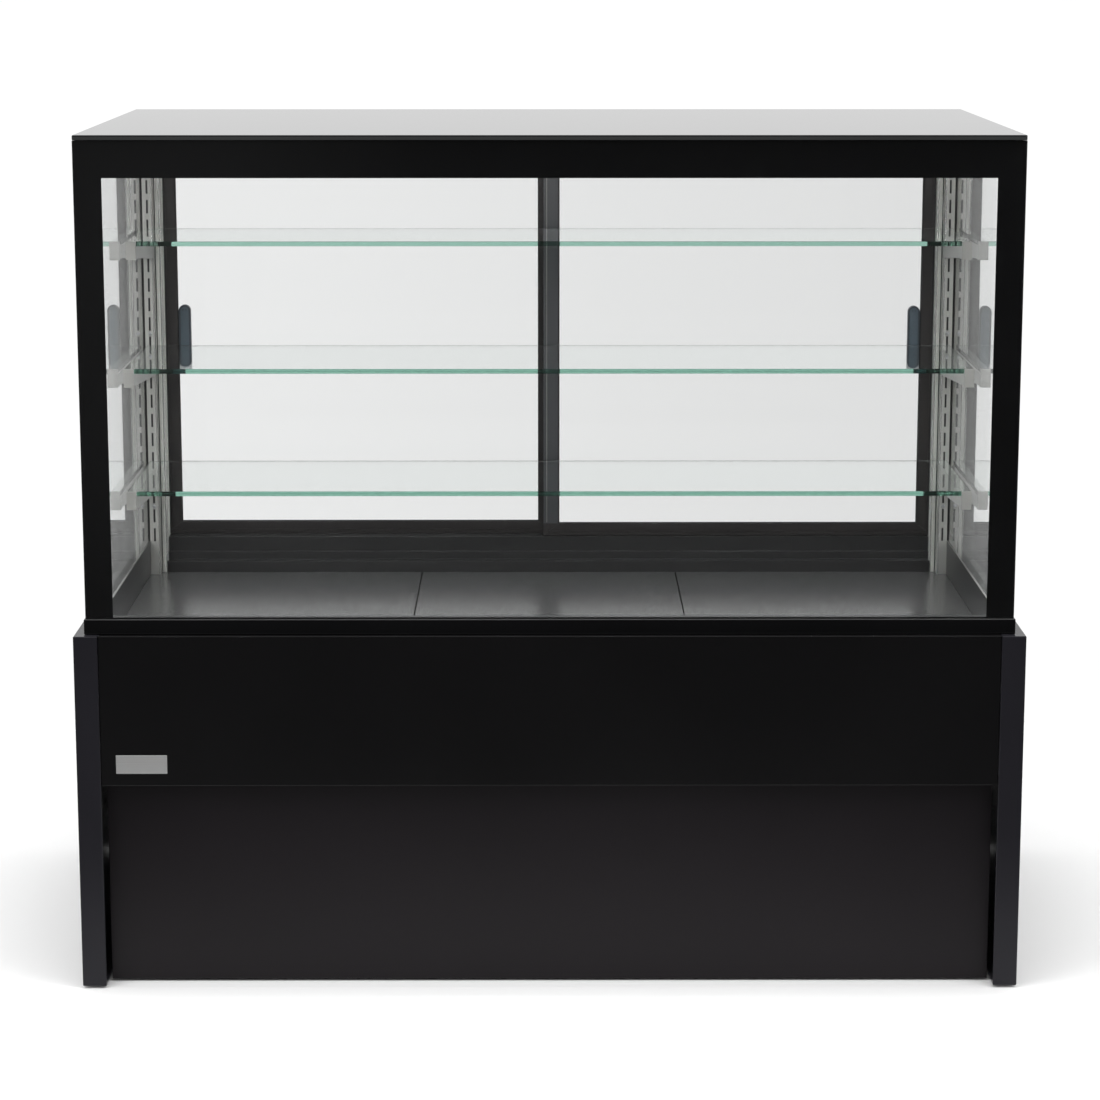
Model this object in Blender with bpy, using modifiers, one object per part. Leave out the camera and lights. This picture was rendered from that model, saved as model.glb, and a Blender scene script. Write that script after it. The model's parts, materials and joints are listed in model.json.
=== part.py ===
"""Refrigerated deli display case: glazed cabin on a closed plinth, with sliding rear doors.

Units are metres, +Z is up, -Y is the customer's side and the origin is the middle of the
footprint at floor level. Every sub-part is one object; moving pieces have their origin on
their joint's axis.
"""

import math

import bmesh
import bpy
from mathutils import Matrix, Vector

# Driving dimensions of the whole case
WIDTH = 1.500
DEPTH = 0.800
HEIGHT = 1.360
GAP = 0.0003  # between pieces that touch
SHEET = 0.0015  # folded steel

# Plinth
FLOOR_CLEARANCE = 0.004
PLINTH_TOP = 0.5785
SIDE_PANEL = 0.038
SIDE_SKIN = 0.002
SIDE_RIM = 0.006
INNER_HALF = WIDTH / 2 - SIDE_PANEL  # half the clear width between the side panels
FRONT = -DEPTH / 2
REAR = DEPTH / 2
FASCIA_FRONT = FRONT + 0.0025
FASCIA_BOTTOM = 0.336
FASCIA_DEPTH = 0.025
KICK_FRONT = FRONT + 0.037
KICK_HALF = INNER_HALF - 0.0045
REAR_FACE = 0.385  # outer face of the rear fascia
GRILLE_FACE = 0.373
RETURN = 0.0007  # a folded panel's ends stop this far short of the side panels
BADGE_SIZE = (0.081, 0.0015, 0.030)
BADGE_AT = (-0.647, 0.371)
LOUVRE_ROWS = 11
LOUVRE_PITCH = 0.020
LOUVRE_SIZE = (0.420, 0.008)
LOUVRE_AT = (0.320, 0.070)
GLAND_AT = (0.600, 0.045)
CHASSIS_LOW = Vector((-0.700, -0.338, 0.050))
CHASSIS_HIGH = Vector((0.700, 0.366, 0.085))
CHASSIS_SHEET = 0.002
FOOT_X = 0.620
FOOT_Y = {"front": -0.270, "rear": 0.300}

# Insulated tub and deck
TUB_BOTTOM = 0.345
TUB_WALL = 0.025
TUB_REAR = 0.320
DECK_TOP = 0.543
DECK_SHEET = 0.003
TUB_RIM = DECK_TOP - DECK_SHEET - GAP
DECK_REAR = 0.297
PAN_FRONT = -0.3530
AIR_SLOTS = 8
AIR_SLOT_Y = (0.018, 0.044)  # from the pan's front edge
AIR_SLOT_MARGIN = 0.015
PAN_HALF_MIDDLE = 0.227
SURROUND_OUTER = INNER_HALF - GAP
SURROUND_FRONT = -0.3547
SURROUND_SHEET = 0.0014
PAN_HALF_ALL = SURROUND_OUTER - SURROUND_SHEET - 2 * GAP

# Glazing
GLASS_HALF = 0.7328
GLASS_FRONT = -0.375
GLASS = 0.008
RAIL_TOP = 0.603
RAIL_PROUD = 0.010
TOP_GLASS = 0.008
UNDER_TOP = HEIGHT - TOP_GLASS - GAP
SIDE_GLASS_INNER = INNER_HALF
CANOPY_BOTTOM = 1.322
CANOPY_SHEET = 0.002
LAMP_HALF = 0.690
LAMP_BOTTOM = 1.296

# Rear frame
FRAME_FRONT = 0.3005
FRAME_REAR = 0.395
JAMB_INNER = 0.6825
SILL_HALF = JAMB_INNER - GAP
HEAD_BOTTOM = 1.300
HEAD_CHANNEL = 1.318  # top of the head's door channels
EXTRUSION_WALL = 0.003
TRACK_HALF = 0.0034
DOOR_PLAY = 0.001  # each side of a door in its channels
UPRIGHT_FRONT = 0.278
UPRIGHT_INNER = 0.6935
UPRIGHT_OUTER = 0.7100
SLOT_PITCH = 0.0343
SLOT_HEIGHT = 0.024
SLOT_WIDTH = 0.0036
SLOT_DEPTH = 0.006
SLOT_COUNT = 20
FIRST_SLOT = 0.6144  # middle of the lowest slot

# Sliding doors
DOOR_THICKNESS = 0.016
DOOR_BOTTOM = RAIL_TOP + 0.0008
DOOR_TOP = 1.312
DOOR_STILE = 0.028
DOOR_OUTER = 0.6890  # reaches into the jamb's channel
DOOR_OVERLAP = 0.0098  # past the middle
DOOR_RAIL = 0.0215
NEAR_TRACK = 0.335  # middle of the right-hand door's thickness
FAR_TRACK = 0.358  # middle of the left-hand door's thickness
DOOR_GLASS = 0.005
GLASS_IN_FRAME = 0.006  # how far the pane reaches into its frame
ROLLER_RADIUS = 0.007
ROLLER_WIDTH = 0.0044
ROLLER_INSET = 0.070
TRACK_DEPTH = 0.0075
PULL_WIDTH = 0.021
PULL_HEIGHT = 0.118
PULL_MIDDLE = 0.958
PULL_X = 0.6485
PULL_HALF = 0.0068  # half its thickness
PULL_FLANGE = 0.0025
PULL_FLOOR = 0.0005  # depth of the cup's floor past the pane's middle

# Shelves
SHELF_TOPS = {"top": 1.160, "middle": 1.160 - 6 * SLOT_PITCH, "lower": 1.160 - 12 * SLOT_PITCH}
SHELF_FRONTS = {"top": 0.027, "middle": -0.038, "lower": -0.042}
SHELF_HALF = 0.7065
SHELF_REAR = 0.2765
SHELF_GLASS = 0.008
BRACKET_INNER = 0.6900
BRACKET_OUTER = 0.7070
BRACKET_DROP = 0.031  # from the shelf's top to the bracket's lower front edge

# Refrigeration
FAN_CENTRE = Vector((-0.32, 0.200, 0.191))
FAN_RADIUS = 0.105
COIL_X = (-0.50, -0.14)
COIL_Y = (0.2150, 0.2750)
COIL_Z = (0.0567, 0.326)
COIL_GAPS = 18
SHROUD_FRONT = 0.1860
SHROUD_SHEET = 0.002
FAN_BLADES = 5
COMPRESSOR_AT = (0.330, 0.060)
BLOWER_CENTRE = Vector((0.0, -0.050, 0.440))
BLOWER_RADIUS = 0.045
BLOWER_HALF = 0.445
BLOWER_TEETH = 18
SHAFT_RADIUS = 0.0060
EVAPORATOR_HALF = 0.450
EVAPORATOR_GAPS = 24

# Control panel
PANEL_X = (-0.620, -0.440)
PANEL_Z = (0.425, 0.500)
PANEL_FACE = REAR_FACE + GAP + 0.004
ROCKER_PIVOT = Vector((-0.470, PANEL_FACE - 0.0025, 0.4625))
ROCKER_TILT = math.radians(8)
ROCKER_HALF = 0.0066
DISPLAY_X = (-0.600, -0.545)
KEY_X = -0.530
KEY_APART = 0.008  # each key's height above or below the middle
KEY_SIZE = (0.010, 0.0062)
KEY_TRAVEL = 0.0008

for leftover in list(bpy.data.objects):
    bpy.data.objects.remove(leftover, do_unlink=True)

PARTS = bpy.data.collections.new("refrigerated_deli_case")
CUTTERS = bpy.data.collections.new("cutters")
for group in (PARTS, CUTTERS):
    bpy.context.scene.collection.children.link(group)


def finish(name, colour, roughness, metallic=0.0, transmission=0.0):
    """A Principled material."""
    made = bpy.data.materials.new(name)
    made.use_nodes = True
    shader = made.node_tree.nodes["Principled BSDF"]
    shader.inputs["Base Color"].default_value = (*colour, 1.0)
    shader.inputs["Roughness"].default_value = roughness
    shader.inputs["Metallic"].default_value = metallic
    shader.inputs["Transmission Weight"].default_value = transmission
    return made


BLACK_PANEL = finish("black_lacquer", (0.012, 0.012, 0.014), 0.22)
SIDE_BLACK = finish("blue_black_satin", (0.020, 0.021, 0.026), 0.38)
KICK_BLACK = finish("warm_black_satin", (0.022, 0.018, 0.020), 0.42)
DECK_GREY = finish("dark_deck_steel", (0.045, 0.045, 0.046), 0.28, 0.6)
STEEL = finish("zinc_plated_steel", (0.55, 0.55, 0.56), 0.4, 1.0)
SILVER = finish("anodised_aluminium", (0.62, 0.61, 0.59), 0.32, 1.0)
BRACKET_GREY = finish("bracket_grey", (0.46, 0.45, 0.43), 0.45, 0.3)
CLEAR = finish("clear_glass", (0.95, 0.98, 0.97), 0.02, 0.0, 1.0)
GREEN_EDGE = finish("shelf_glass", (0.80, 0.95, 0.90), 0.02, 0.0, 1.0)
BLACK_GLASS = finish("black_glass", (0.010, 0.010, 0.011), 0.06)
FRAME_BLACK = finish("door_frame_black", (0.020, 0.018, 0.018), 0.35)
PULL_GREY = finish("pull_blue_grey", (0.12, 0.14, 0.17), 0.3)
TUB_LINING = finish("tub_lining", (0.30, 0.30, 0.31), 0.5)
FIN_METAL = finish("aluminium_fins", (0.70, 0.70, 0.70), 0.45, 1.0)
BLACK_PLASTIC = finish("black_plastic", (0.02, 0.02, 0.02), 0.5)
KEY_GREY = finish("key_grey", (0.35, 0.36, 0.38), 0.5)
BADGE_GREY = finish("badge_light_grey", (0.75, 0.75, 0.74), 0.35)
COMPRESSOR_BLACK = finish("compressor_black", (0.015, 0.015, 0.016), 0.35)
RUBBER = finish("foot_rubber", (0.02, 0.02, 0.02), 0.7)


def add_box(mesh, low, high):
    """Adds a closed box to a bmesh."""
    low, high = Vector(low), Vector(high)
    size = high - low
    place = Matrix.Translation((low + high) / 2) @ Matrix.Diagonal((*size, 1.0))
    bmesh.ops.create_cube(mesh, size=1.0, matrix=place)


def add_cylinder(mesh, centre, radius, start, end, axis, segments=32):
    """Adds a closed cylinder to a bmesh. centre fixes the two coordinates across the axis."""
    turns = {"X": Matrix.Rotation(math.pi / 2, 4, "Y"), "Z": Matrix.Identity(4)}
    turn = turns.get(axis, Matrix.Rotation(math.pi / 2, 4, "X"))
    middle = Vector(centre)
    middle["XYZ".index(axis)] = (start + end) / 2
    bmesh.ops.create_cone(
        mesh,
        cap_ends=True,
        segments=segments,
        radius1=radius,
        radius2=radius,
        depth=end - start,
        matrix=Matrix.Translation(middle) @ turn,
    )


def add_prism(mesh, outline, axis, start, end):
    """Sweeps a flat outline along an axis into a bmesh. The outline's two coordinates are the
    other two axes, in X, Y, Z order."""
    curve = bpy.data.curves.new("outline", "CURVE")
    curve.dimensions = "2D"
    curve.fill_mode = "BOTH"
    curve.extrude = (end - start) / 2
    spline = curve.splines.new("POLY")
    spline.points.add(len(outline) - 1)
    for point, (across, up) in zip(spline.points, outline):
        point.co = (across, up, 0.0, 1.0)
    spline.use_cyclic_u = True
    holder = bpy.data.objects.new("outline", curve)
    bpy.context.scene.collection.objects.link(holder)
    graph = bpy.context.evaluated_depsgraph_get()
    swept = bpy.data.meshes.new_from_object(holder.evaluated_get(graph))
    bpy.data.objects.remove(holder, do_unlink=True)
    columns = {"X": "YZX", "Y": "XZY", "Z": "XYZ"}[axis]
    turn = Matrix.Translation(Vector([(start + end) / 2 if c == axis else 0.0 for c in "XYZ"]))
    swap = Matrix([[1.0 if columns[c] == row else 0.0 for c in range(3)] for row in "XYZ"])
    swept.transform(turn @ swap.to_4x4())
    made = bmesh.new()
    made.from_mesh(swept)
    bmesh.ops.remove_doubles(made, verts=made.verts, dist=1e-6)
    bmesh.ops.recalc_face_normals(made, faces=made.faces)
    made.to_mesh(swept)
    made.free()
    mesh.from_mesh(swept)
    bpy.data.meshes.remove(swept)


def arc(centre, radius, start, end, count):
    """Points along an arc, angles in degrees."""
    angles = [math.radians(start + (end - start) * i / count) for i in range(count + 1)]
    return [(centre[0] + radius * math.cos(a), centre[1] + radius * math.sin(a)) for a in angles]


def stadium(centre, width, height, count=8):
    """An upright outline with round ends, as its two coordinates."""
    radius = width / 2
    reach = height / 2 - radius
    top = arc((centre[0], centre[1] + reach), radius, 0, 180, count)
    return top + arc((centre[0], centre[1] - reach), radius, 180, 360, count)


def place(name, mesh, material, origin=(0.0, 0.0, 0.0), bevel=0.0, segments=2):
    """Turns a bmesh into a part whose origin is at the given point."""
    data = bpy.data.meshes.new(name)
    bmesh.ops.translate(mesh, verts=mesh.verts, vec=-Vector(origin))
    mesh.to_mesh(data)
    mesh.free()
    part = bpy.data.objects.new(name, data)
    part.location = origin
    part.data.materials.append(material)
    PARTS.objects.link(part)
    if bevel:
        rounded = part.modifiers.new("edges", "BEVEL")
        rounded.width = bevel
        rounded.segments = segments
        rounded.limit_method = "ANGLE"
    return part


def combine(part, mesh, operation="DIFFERENCE"):
    """Cuts a bmesh from a part, or joins it on."""
    data = bpy.data.meshes.new(part.name + "_tool")
    mesh.to_mesh(data)
    mesh.free()
    tool = bpy.data.objects.new(part.name + "_tool", data)
    tool.hide_render = True
    tool.display_type = "WIRE"
    CUTTERS.objects.link(tool)
    step = part.modifiers.new(operation.lower(), "BOOLEAN")
    step.operation = operation
    step.solver = "EXACT"
    step.object = tool


def box(name, low, high, material, bevel=0.0, origin=(0.0, 0.0, 0.0)):
    mesh = bmesh.new()
    add_box(mesh, low, high)
    return place(name, mesh, material, origin, bevel)


def prism(name, outline, axis, start, end, material, origin=(0.0, 0.0, 0.0)):
    mesh = bmesh.new()
    add_prism(mesh, outline, axis, start, end)
    return place(name, mesh, material, origin)


def turned(name, profile, origin, material, steps=20):
    """A turned shape about +Z; the profile runs down its outer side as (radius, height)."""
    data = bpy.data.meshes.new(name)
    edges = [(i, i + 1) for i in range(len(profile) - 1)]
    data.from_pydata([(r, 0.0, z) for r, z in profile], edges, [])
    part = bpy.data.objects.new(name, data)
    part.location = origin
    part.data.materials.append(material)
    PARTS.objects.link(part)
    screw = part.modifiers.new("turn", "SCREW")
    screw.steps = screw.render_steps = steps
    screw.use_merge_vertices = True
    screw.merge_threshold = 1e-5
    screw.use_smooth_shade = True
    return part


def smooth(part, degrees=35):
    part.data.shade_smooth()
    part.data.set_sharp_from_angle(angle=math.radians(degrees))


def channel(face, back, low, high, sheet):
    """A folded panel's section: a face with a return along its top and its bottom."""
    inward = math.copysign(sheet, back - face)
    return [
        (face, low),
        (back, low),
        (back, low + sheet),
        (face + inward, low + sheet),
        (face + inward, high - sheet),
        (back, high - sheet),
        (back, high),
        (face, high),
    ]


def make_chassis():
    """An open tray that carries the machine room, on four levelling feet."""
    chassis = box("chassis_base", CHASSIS_LOW, CHASSIS_HIGH, STEEL)
    inside = bmesh.new()
    wall = Vector((CHASSIS_SHEET, CHASSIS_SHEET, CHASSIS_SHEET))
    add_box(inside, CHASSIS_LOW + wall, CHASSIS_HIGH - wall + Vector((0.0, 0.0, 0.01)))
    combine(chassis, inside)
    foot = [
        (0.0, 0.0497),
        (0.0055, 0.0497),
        (0.0055, 0.046),
        (0.010, 0.046),
        (0.010, 0.038),
        (0.0055, 0.038),
        (0.0055, 0.014),
        (0.020, 0.010),
        (0.024, 0.006),
        (0.024, 0.0),
        (0.0, 0.0),
    ]
    for end, y in FOOT_Y.items():
        for side, x in (("left", -FOOT_X), ("right", FOOT_X)):
            turned(f"{end}_{side}_foot", foot, (x, y, 0.0), RUBBER, 16)


def make_plinth():
    for side, sign in (("left", -1), ("right", 1)):
        outer, inner = sign * WIDTH / 2, sign * INNER_HALF
        low = (min(outer, inner), FRONT, FLOOR_CLEARANCE)
        high = (max(outer, inner), REAR, PLINTH_TOP)
        panel = box(f"{side}_side_panel", low, high, SIDE_BLACK, bevel=0.0012)
        hollow = bmesh.new()
        skin = sign * (WIDTH / 2 - SIDE_SKIN)
        past = sign * (INNER_HALF - 0.01)
        add_box(
            hollow,
            (min(skin, past), FRONT + SIDE_RIM, FLOOR_CLEARANCE + SIDE_RIM),
            (max(skin, past), REAR - SIDE_RIM, PLINTH_TOP - SIDE_RIM),
        )
        combine(panel, hollow)
    span = INNER_HALF - RETURN
    fascia = channel(FASCIA_FRONT, FASCIA_FRONT + FASCIA_DEPTH, FASCIA_BOTTOM, PLINTH_TOP, SHEET)
    prism("front_fascia", fascia, "X", -span, span, BLACK_PANEL)
    kick = channel(KICK_FRONT, KICK_FRONT + 0.020, FLOOR_CLEARANCE, TUB_BOTTOM - GAP, SHEET)
    prism("kick_panel", kick, "X", -KICK_HALF, KICK_HALF, KICK_BLACK)
    x, z = BADGE_AT
    width, thickness, height = BADGE_SIZE
    box(
        "badge_plate",
        (x - width / 2, FASCIA_FRONT - GAP - thickness, z - height / 2),
        (x + width / 2, FASCIA_FRONT - GAP, z + height / 2),
        BADGE_GREY,
        bevel=0.0004,
    )


def make_rear_panels():
    span = INNER_HALF - RETURN
    section = channel(REAR_FACE, REAR_FACE - 0.022, FASCIA_BOTTOM, DECK_TOP - 0.004, SHEET)
    fascia = prism("rear_fascia", section, "X", -span, span, BLACK_PANEL)
    window = bmesh.new()
    margin = 0.010
    add_box(
        window,
        (PANEL_X[0] + margin, REAR_FACE - 0.01, PANEL_Z[0] + margin),
        (PANEL_X[1] - margin, REAR_FACE + 0.01, PANEL_Z[1] - margin),
    )
    combine(fascia, window)
    grille = box(
        "service_grille",
        (-span, GRILLE_FACE - 0.003, 0.012),
        (span, GRILLE_FACE, FASCIA_BOTTOM - GAP),
        BLACK_PANEL,
    )
    louvres = bmesh.new()
    length, height = LOUVRE_SIZE
    for row in range(LOUVRE_ROWS):
        z = LOUVRE_AT[1] + row * LOUVRE_PITCH
        for x in (-LOUVRE_AT[0], LOUVRE_AT[0]):
            low = (x - length / 2, GRILLE_FACE - 0.01, z)
            add_box(louvres, low, (x + length / 2, GRILLE_FACE + 0.01, z + height))
    combine(grille, louvres)
    gland = [
        (0.0, 0.020),
        (0.0065, 0.020),
        (0.0085, 0.017),
        (0.0085, 0.008),
        (0.0120, 0.008),
        (0.0120, 0.0),
        (0.0, 0.0),
    ]
    entry = turned("cable_gland", gland, (GLAND_AT[0], GRILLE_FACE + GAP, GLAND_AT[1]), BLACK_PLASTIC, 18)
    entry.rotation_euler = (-math.pi / 2, 0.0, 0.0)


def make_tub():
    low = Vector((-SURROUND_OUTER, FASCIA_FRONT + FASCIA_DEPTH + GAP, TUB_BOTTOM))
    high = Vector((SURROUND_OUTER, TUB_REAR, TUB_RIM))
    tub = box("insulated_tub", low, high, TUB_LINING)
    inside = bmesh.new()
    wall = Vector((TUB_WALL, TUB_WALL, TUB_WALL))
    add_box(inside, low + wall, high + Vector((-TUB_WALL, -TUB_WALL, 0.02)))
    combine(tub, inside)


def make_deck():
    """Three lift-out pans with air slots along the front; the outer two are notched round the
    slotted uprights."""
    front, bottom, back = PAN_FRONT, TUB_RIM + GAP, DECK_REAR - GAP
    notch_x, notch_y = UPRIGHT_INNER - 0.001, UPRIGHT_FRONT - 0.001
    seam = PAN_HALF_MIDDLE
    near = seam + 2 * GAP
    middle = [(-seam, front), (seam, front), (seam, back), (-seam, back)]
    outer = [
        (near, front),
        (PAN_HALF_ALL, front),
        (PAN_HALF_ALL, notch_y),
        (notch_x, notch_y),
        (notch_x, back),
        (near, back),
    ]
    left = [(-x, y) for x, y in reversed(outer)]
    spans = {"left": (-PAN_HALF_ALL, -near), "middle": (-seam, seam), "right": (near, PAN_HALF_ALL)}
    for side, outline in (("left", left), ("middle", middle), ("right", outer)):
        pan = prism(f"{side}_deck_pan", outline, "Z", bottom, DECK_TOP, DECK_GREY)
        slots = bmesh.new()
        low, high = spans[side]
        pitch = (high - low - 2 * AIR_SLOT_MARGIN) / AIR_SLOTS
        for i in range(AIR_SLOTS):
            x = low + AIR_SLOT_MARGIN + (i + 0.5) * pitch
            corner = (x - 0.4 * pitch, front + AIR_SLOT_Y[0], bottom - 0.01)
            add_box(slots, corner, (x + 0.4 * pitch, front + AIR_SLOT_Y[1], DECK_TOP + 0.01))
        combine(pan, slots)


def make_surround():
    """The upstand round the deck: one folded sheet along the front and both sides."""
    low = Vector((-SURROUND_OUTER, SURROUND_FRONT, TUB_RIM + GAP))
    high = Vector((SURROUND_OUTER, FRAME_FRONT - GAP, RAIL_TOP))
    surround = box("display_surround", low, high, DECK_GREY)
    inside = bmesh.new()
    sheet = SURROUND_SHEET
    add_box(inside, low + Vector((sheet, sheet, -0.01)), high + Vector((-sheet, 0.05, 0.01)))
    combine(surround, inside)


def make_glazing():
    rail_half = GLASS_HALF + 0.0015
    rail = box(
        "glass_base_rail",
        (-rail_half, GLASS_FRONT - RAIL_PROUD, PLINTH_TOP + GAP),
        (rail_half, FRAME_REAR, RAIL_TOP),
        BLACK_PANEL,
        bevel=0.0010,
    )
    inside = bmesh.new()
    add_box(inside, (-INNER_HALF, SURROUND_FRONT - GAP, 0.5), (INNER_HALF, 0.5, 0.7))
    combine(rail, inside)
    bottom = RAIL_TOP + GAP
    low, high = (-GLASS_HALF, GLASS_FRONT, bottom), (GLASS_HALF, GLASS_FRONT + GLASS, UNDER_TOP)
    box("front_glass", low, high, CLEAR)
    for side, sign in (("left", -1), ("right", 1)):
        xs = sorted((sign * SIDE_GLASS_INNER, sign * GLASS_HALF))
        box(
            f"{side}_side_glass",
            (xs[0], GLASS_FRONT + GLASS + GAP, bottom),
            (xs[1], FRAME_REAR, UNDER_TOP),
            CLEAR,
        )
    box(
        "top_panel",
        (-GLASS_HALF, GLASS_FRONT, HEIGHT - TOP_GLASS),
        (GLASS_HALF, REAR, HEIGHT),
        BLACK_GLASS,
        bevel=0.0012,
    )
    make_canopy()


def make_canopy():
    """A tray under the top glass, open upwards, with the lamp along its front."""
    low = Vector((-SURROUND_OUTER, GLASS_FRONT + GLASS + GAP, CANOPY_BOTTOM))
    high = Vector((SURROUND_OUTER, FRAME_FRONT - GAP, UNDER_TOP))
    canopy = box("canopy_panel", low, high, BLACK_PANEL)
    inside = bmesh.new()
    wall = Vector((CANOPY_SHEET, CANOPY_SHEET, CANOPY_SHEET))
    add_box(inside, low + wall, high - wall + Vector((0.0, 0.0, 0.01)))
    combine(canopy, inside)
    lamp = [
        (-0.364, CANOPY_BOTTOM - GAP),
        (-0.364, LAMP_BOTTOM + 0.004),
        (-0.350, LAMP_BOTTOM),
        (-0.334, LAMP_BOTTOM + 0.012),
        (-0.334, CANOPY_BOTTOM - GAP),
    ]
    prism("led_lamp", lamp, "X", -LAMP_HALF, LAMP_HALF, SILVER)


def groove(middle, half, mouth, floor):
    """Four points of a groove in a section, from its near edge to its far edge."""
    return [(middle - half, mouth), (middle - half, floor), (middle + half, floor), (middle + half, mouth)]


def make_rear_frame():
    track_floor = RAIL_TOP - TRACK_DEPTH
    sill = [
        (DECK_REAR, TUB_RIM + GAP),
        (DECK_REAR, 0.563),
        (0.315, 0.563),
        (0.315, 0.577),
        (0.3215, 0.577),
        (0.3215, RAIL_TOP),
        *groove(NEAR_TRACK, TRACK_HALF, RAIL_TOP, track_floor),
        *groove(FAR_TRACK, TRACK_HALF, RAIL_TOP, track_floor),
        (FRAME_REAR, RAIL_TOP),
        (FRAME_REAR, TUB_RIM + GAP),
    ]
    lower = prism("rear_sill", sill, "X", -SILL_HALF, SILL_HALF, FRAME_BLACK)
    wall = EXTRUSION_WALL
    bore = bmesh.new()
    add_box(
        bore,
        (-INNER_HALF, 0.3215 + wall, TUB_RIM + GAP + wall),
        (INNER_HALF, FRAME_REAR - wall, track_floor - wall),
    )
    combine(lower, bore)
    channel_half = DOOR_THICKNESS / 2 + DOOR_PLAY
    head = [
        (FRAME_FRONT, UNDER_TOP),
        (FRAME_FRONT, HEAD_BOTTOM),
        *groove(NEAR_TRACK, channel_half, HEAD_BOTTOM, HEAD_CHANNEL),
        *groove(FAR_TRACK, channel_half, HEAD_BOTTOM, HEAD_CHANNEL),
        (FRAME_REAR, HEAD_BOTTOM),
        (FRAME_REAR, UNDER_TOP),
    ]
    upper = prism("rear_head", head, "X", -SILL_HALF, SILL_HALF, FRAME_BLACK)
    bore = bmesh.new()
    add_box(
        bore,
        (-INNER_HALF, FRAME_FRONT + wall, HEAD_CHANNEL + wall),
        (INNER_HALF, FRAME_REAR - wall, UNDER_TOP - wall),
    )
    combine(upper, bore)
    for side, sign in (("left", -1), ("right", 1)):
        make_jamb(side, sign)
        make_upright(side, sign)


def make_jamb(side, sign):
    """An aluminium extrusion: fluted at the front, with a shallow channel for each door."""
    outer, inner = SURROUND_OUTER, JAMB_INNER
    recess = DOOR_OUTER + 0.0015
    half = DOOR_THICKNESS / 2 + DOOR_PLAY
    flute, flute_start, flute_end = 0.0022, inner + 0.0085, inner + 0.0060
    section = [
        (outer, FRAME_FRONT),
        (flute_start, FRAME_FRONT),
        (flute_start, FRAME_FRONT + flute),
        (flute_end, FRAME_FRONT + flute),
        (flute_end, FRAME_FRONT),
        (inner, FRAME_FRONT),
        (inner, NEAR_TRACK - half),
        (recess, NEAR_TRACK - half),
        (recess, NEAR_TRACK + half),
        (inner, NEAR_TRACK + half),
        (inner, FAR_TRACK - half),
        (recess, FAR_TRACK - half),
        (recess, FAR_TRACK + half),
        (inner, FAR_TRACK + half),
        (inner, FRAME_REAR),
        (outer, FRAME_REAR),
    ]
    outline = [(sign * x, y) for x, y in section]
    prism(f"{side}_jamb", outline, "Z", TUB_RIM + GAP, UNDER_TOP, SILVER)


def make_upright(side, sign):
    """A slotted shelf upright."""
    xs = sorted((sign * UPRIGHT_INNER, sign * UPRIGHT_OUTER))
    upright = box(
        f"{side}_slotted_upright",
        (xs[0], UPRIGHT_FRONT, TUB_RIM + GAP),
        (xs[1], FRAME_FRONT - GAP, CANOPY_BOTTOM - GAP),
        SILVER,
    )
    slots = bmesh.new()
    middle = sign * (UPRIGHT_INNER + UPRIGHT_OUTER) / 2
    for i in range(SLOT_COUNT):
        z = FIRST_SLOT + i * SLOT_PITCH
        add_box(
            slots,
            (middle - SLOT_WIDTH / 2, UPRIGHT_FRONT - 0.01, z - SLOT_HEIGHT / 2),
            (middle + SLOT_WIDTH / 2, UPRIGHT_FRONT + SLOT_DEPTH, z + SLOT_HEIGHT / 2),
        )
    combine(upright, slots)


def make_shelves():
    for name, top in SHELF_TOPS.items():
        front = SHELF_FRONTS[name]
        low = (-SHELF_HALF, front, top - SHELF_GLASS)
        high = (SHELF_HALF, SHELF_REAR, top)
        box(f"{name}_shelf", low, high, GREEN_EDGE, bevel=0.0006, origin=(0.0, 0.0, top))
        for side, sign in (("left", -1), ("right", 1)):
            make_bracket(f"{name}_{side}_bracket", sign, top, front)


def make_bracket(name, sign, top, front):
    """A cantilever arm under the shelf's end, with a front stop and two hooks in the slots."""
    seat = top - SHELF_GLASS - GAP
    low_front = top - BRACKET_DROP
    back = UPRIGHT_FRONT - GAP
    stop_face, stop_back = front - 0.0045, front - GAP
    side_view = [
        (stop_face, top),
        (stop_face, low_front),
        (front + 0.030, low_front),
        (back, top - 0.052),
        (back, seat),
        (stop_back, seat),
        (stop_back, top),
    ]
    xs = sorted((sign * BRACKET_INNER, sign * BRACKET_OUTER))
    arm = prism(name, side_view, "X", xs[0], xs[1], BRACKET_GREY)
    middle = sign * (UPRIGHT_INNER + UPRIGHT_OUTER) / 2
    slot = FIRST_SLOT + SLOT_PITCH * math.floor((seat - 0.004 - FIRST_SLOT) / SLOT_PITCH)
    hook = bmesh.new()
    hook_top = min(slot + SLOT_HEIGHT / 2 - 0.004, seat - 0.004)
    add_box(
        hook,
        (middle - 0.0010, back - 0.004, hook_top - 0.014),
        (middle + 0.0010, UPRIGHT_FRONT + SLOT_DEPTH - 0.0015, hook_top),
    )
    combine(arm, hook, "UNION")


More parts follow.
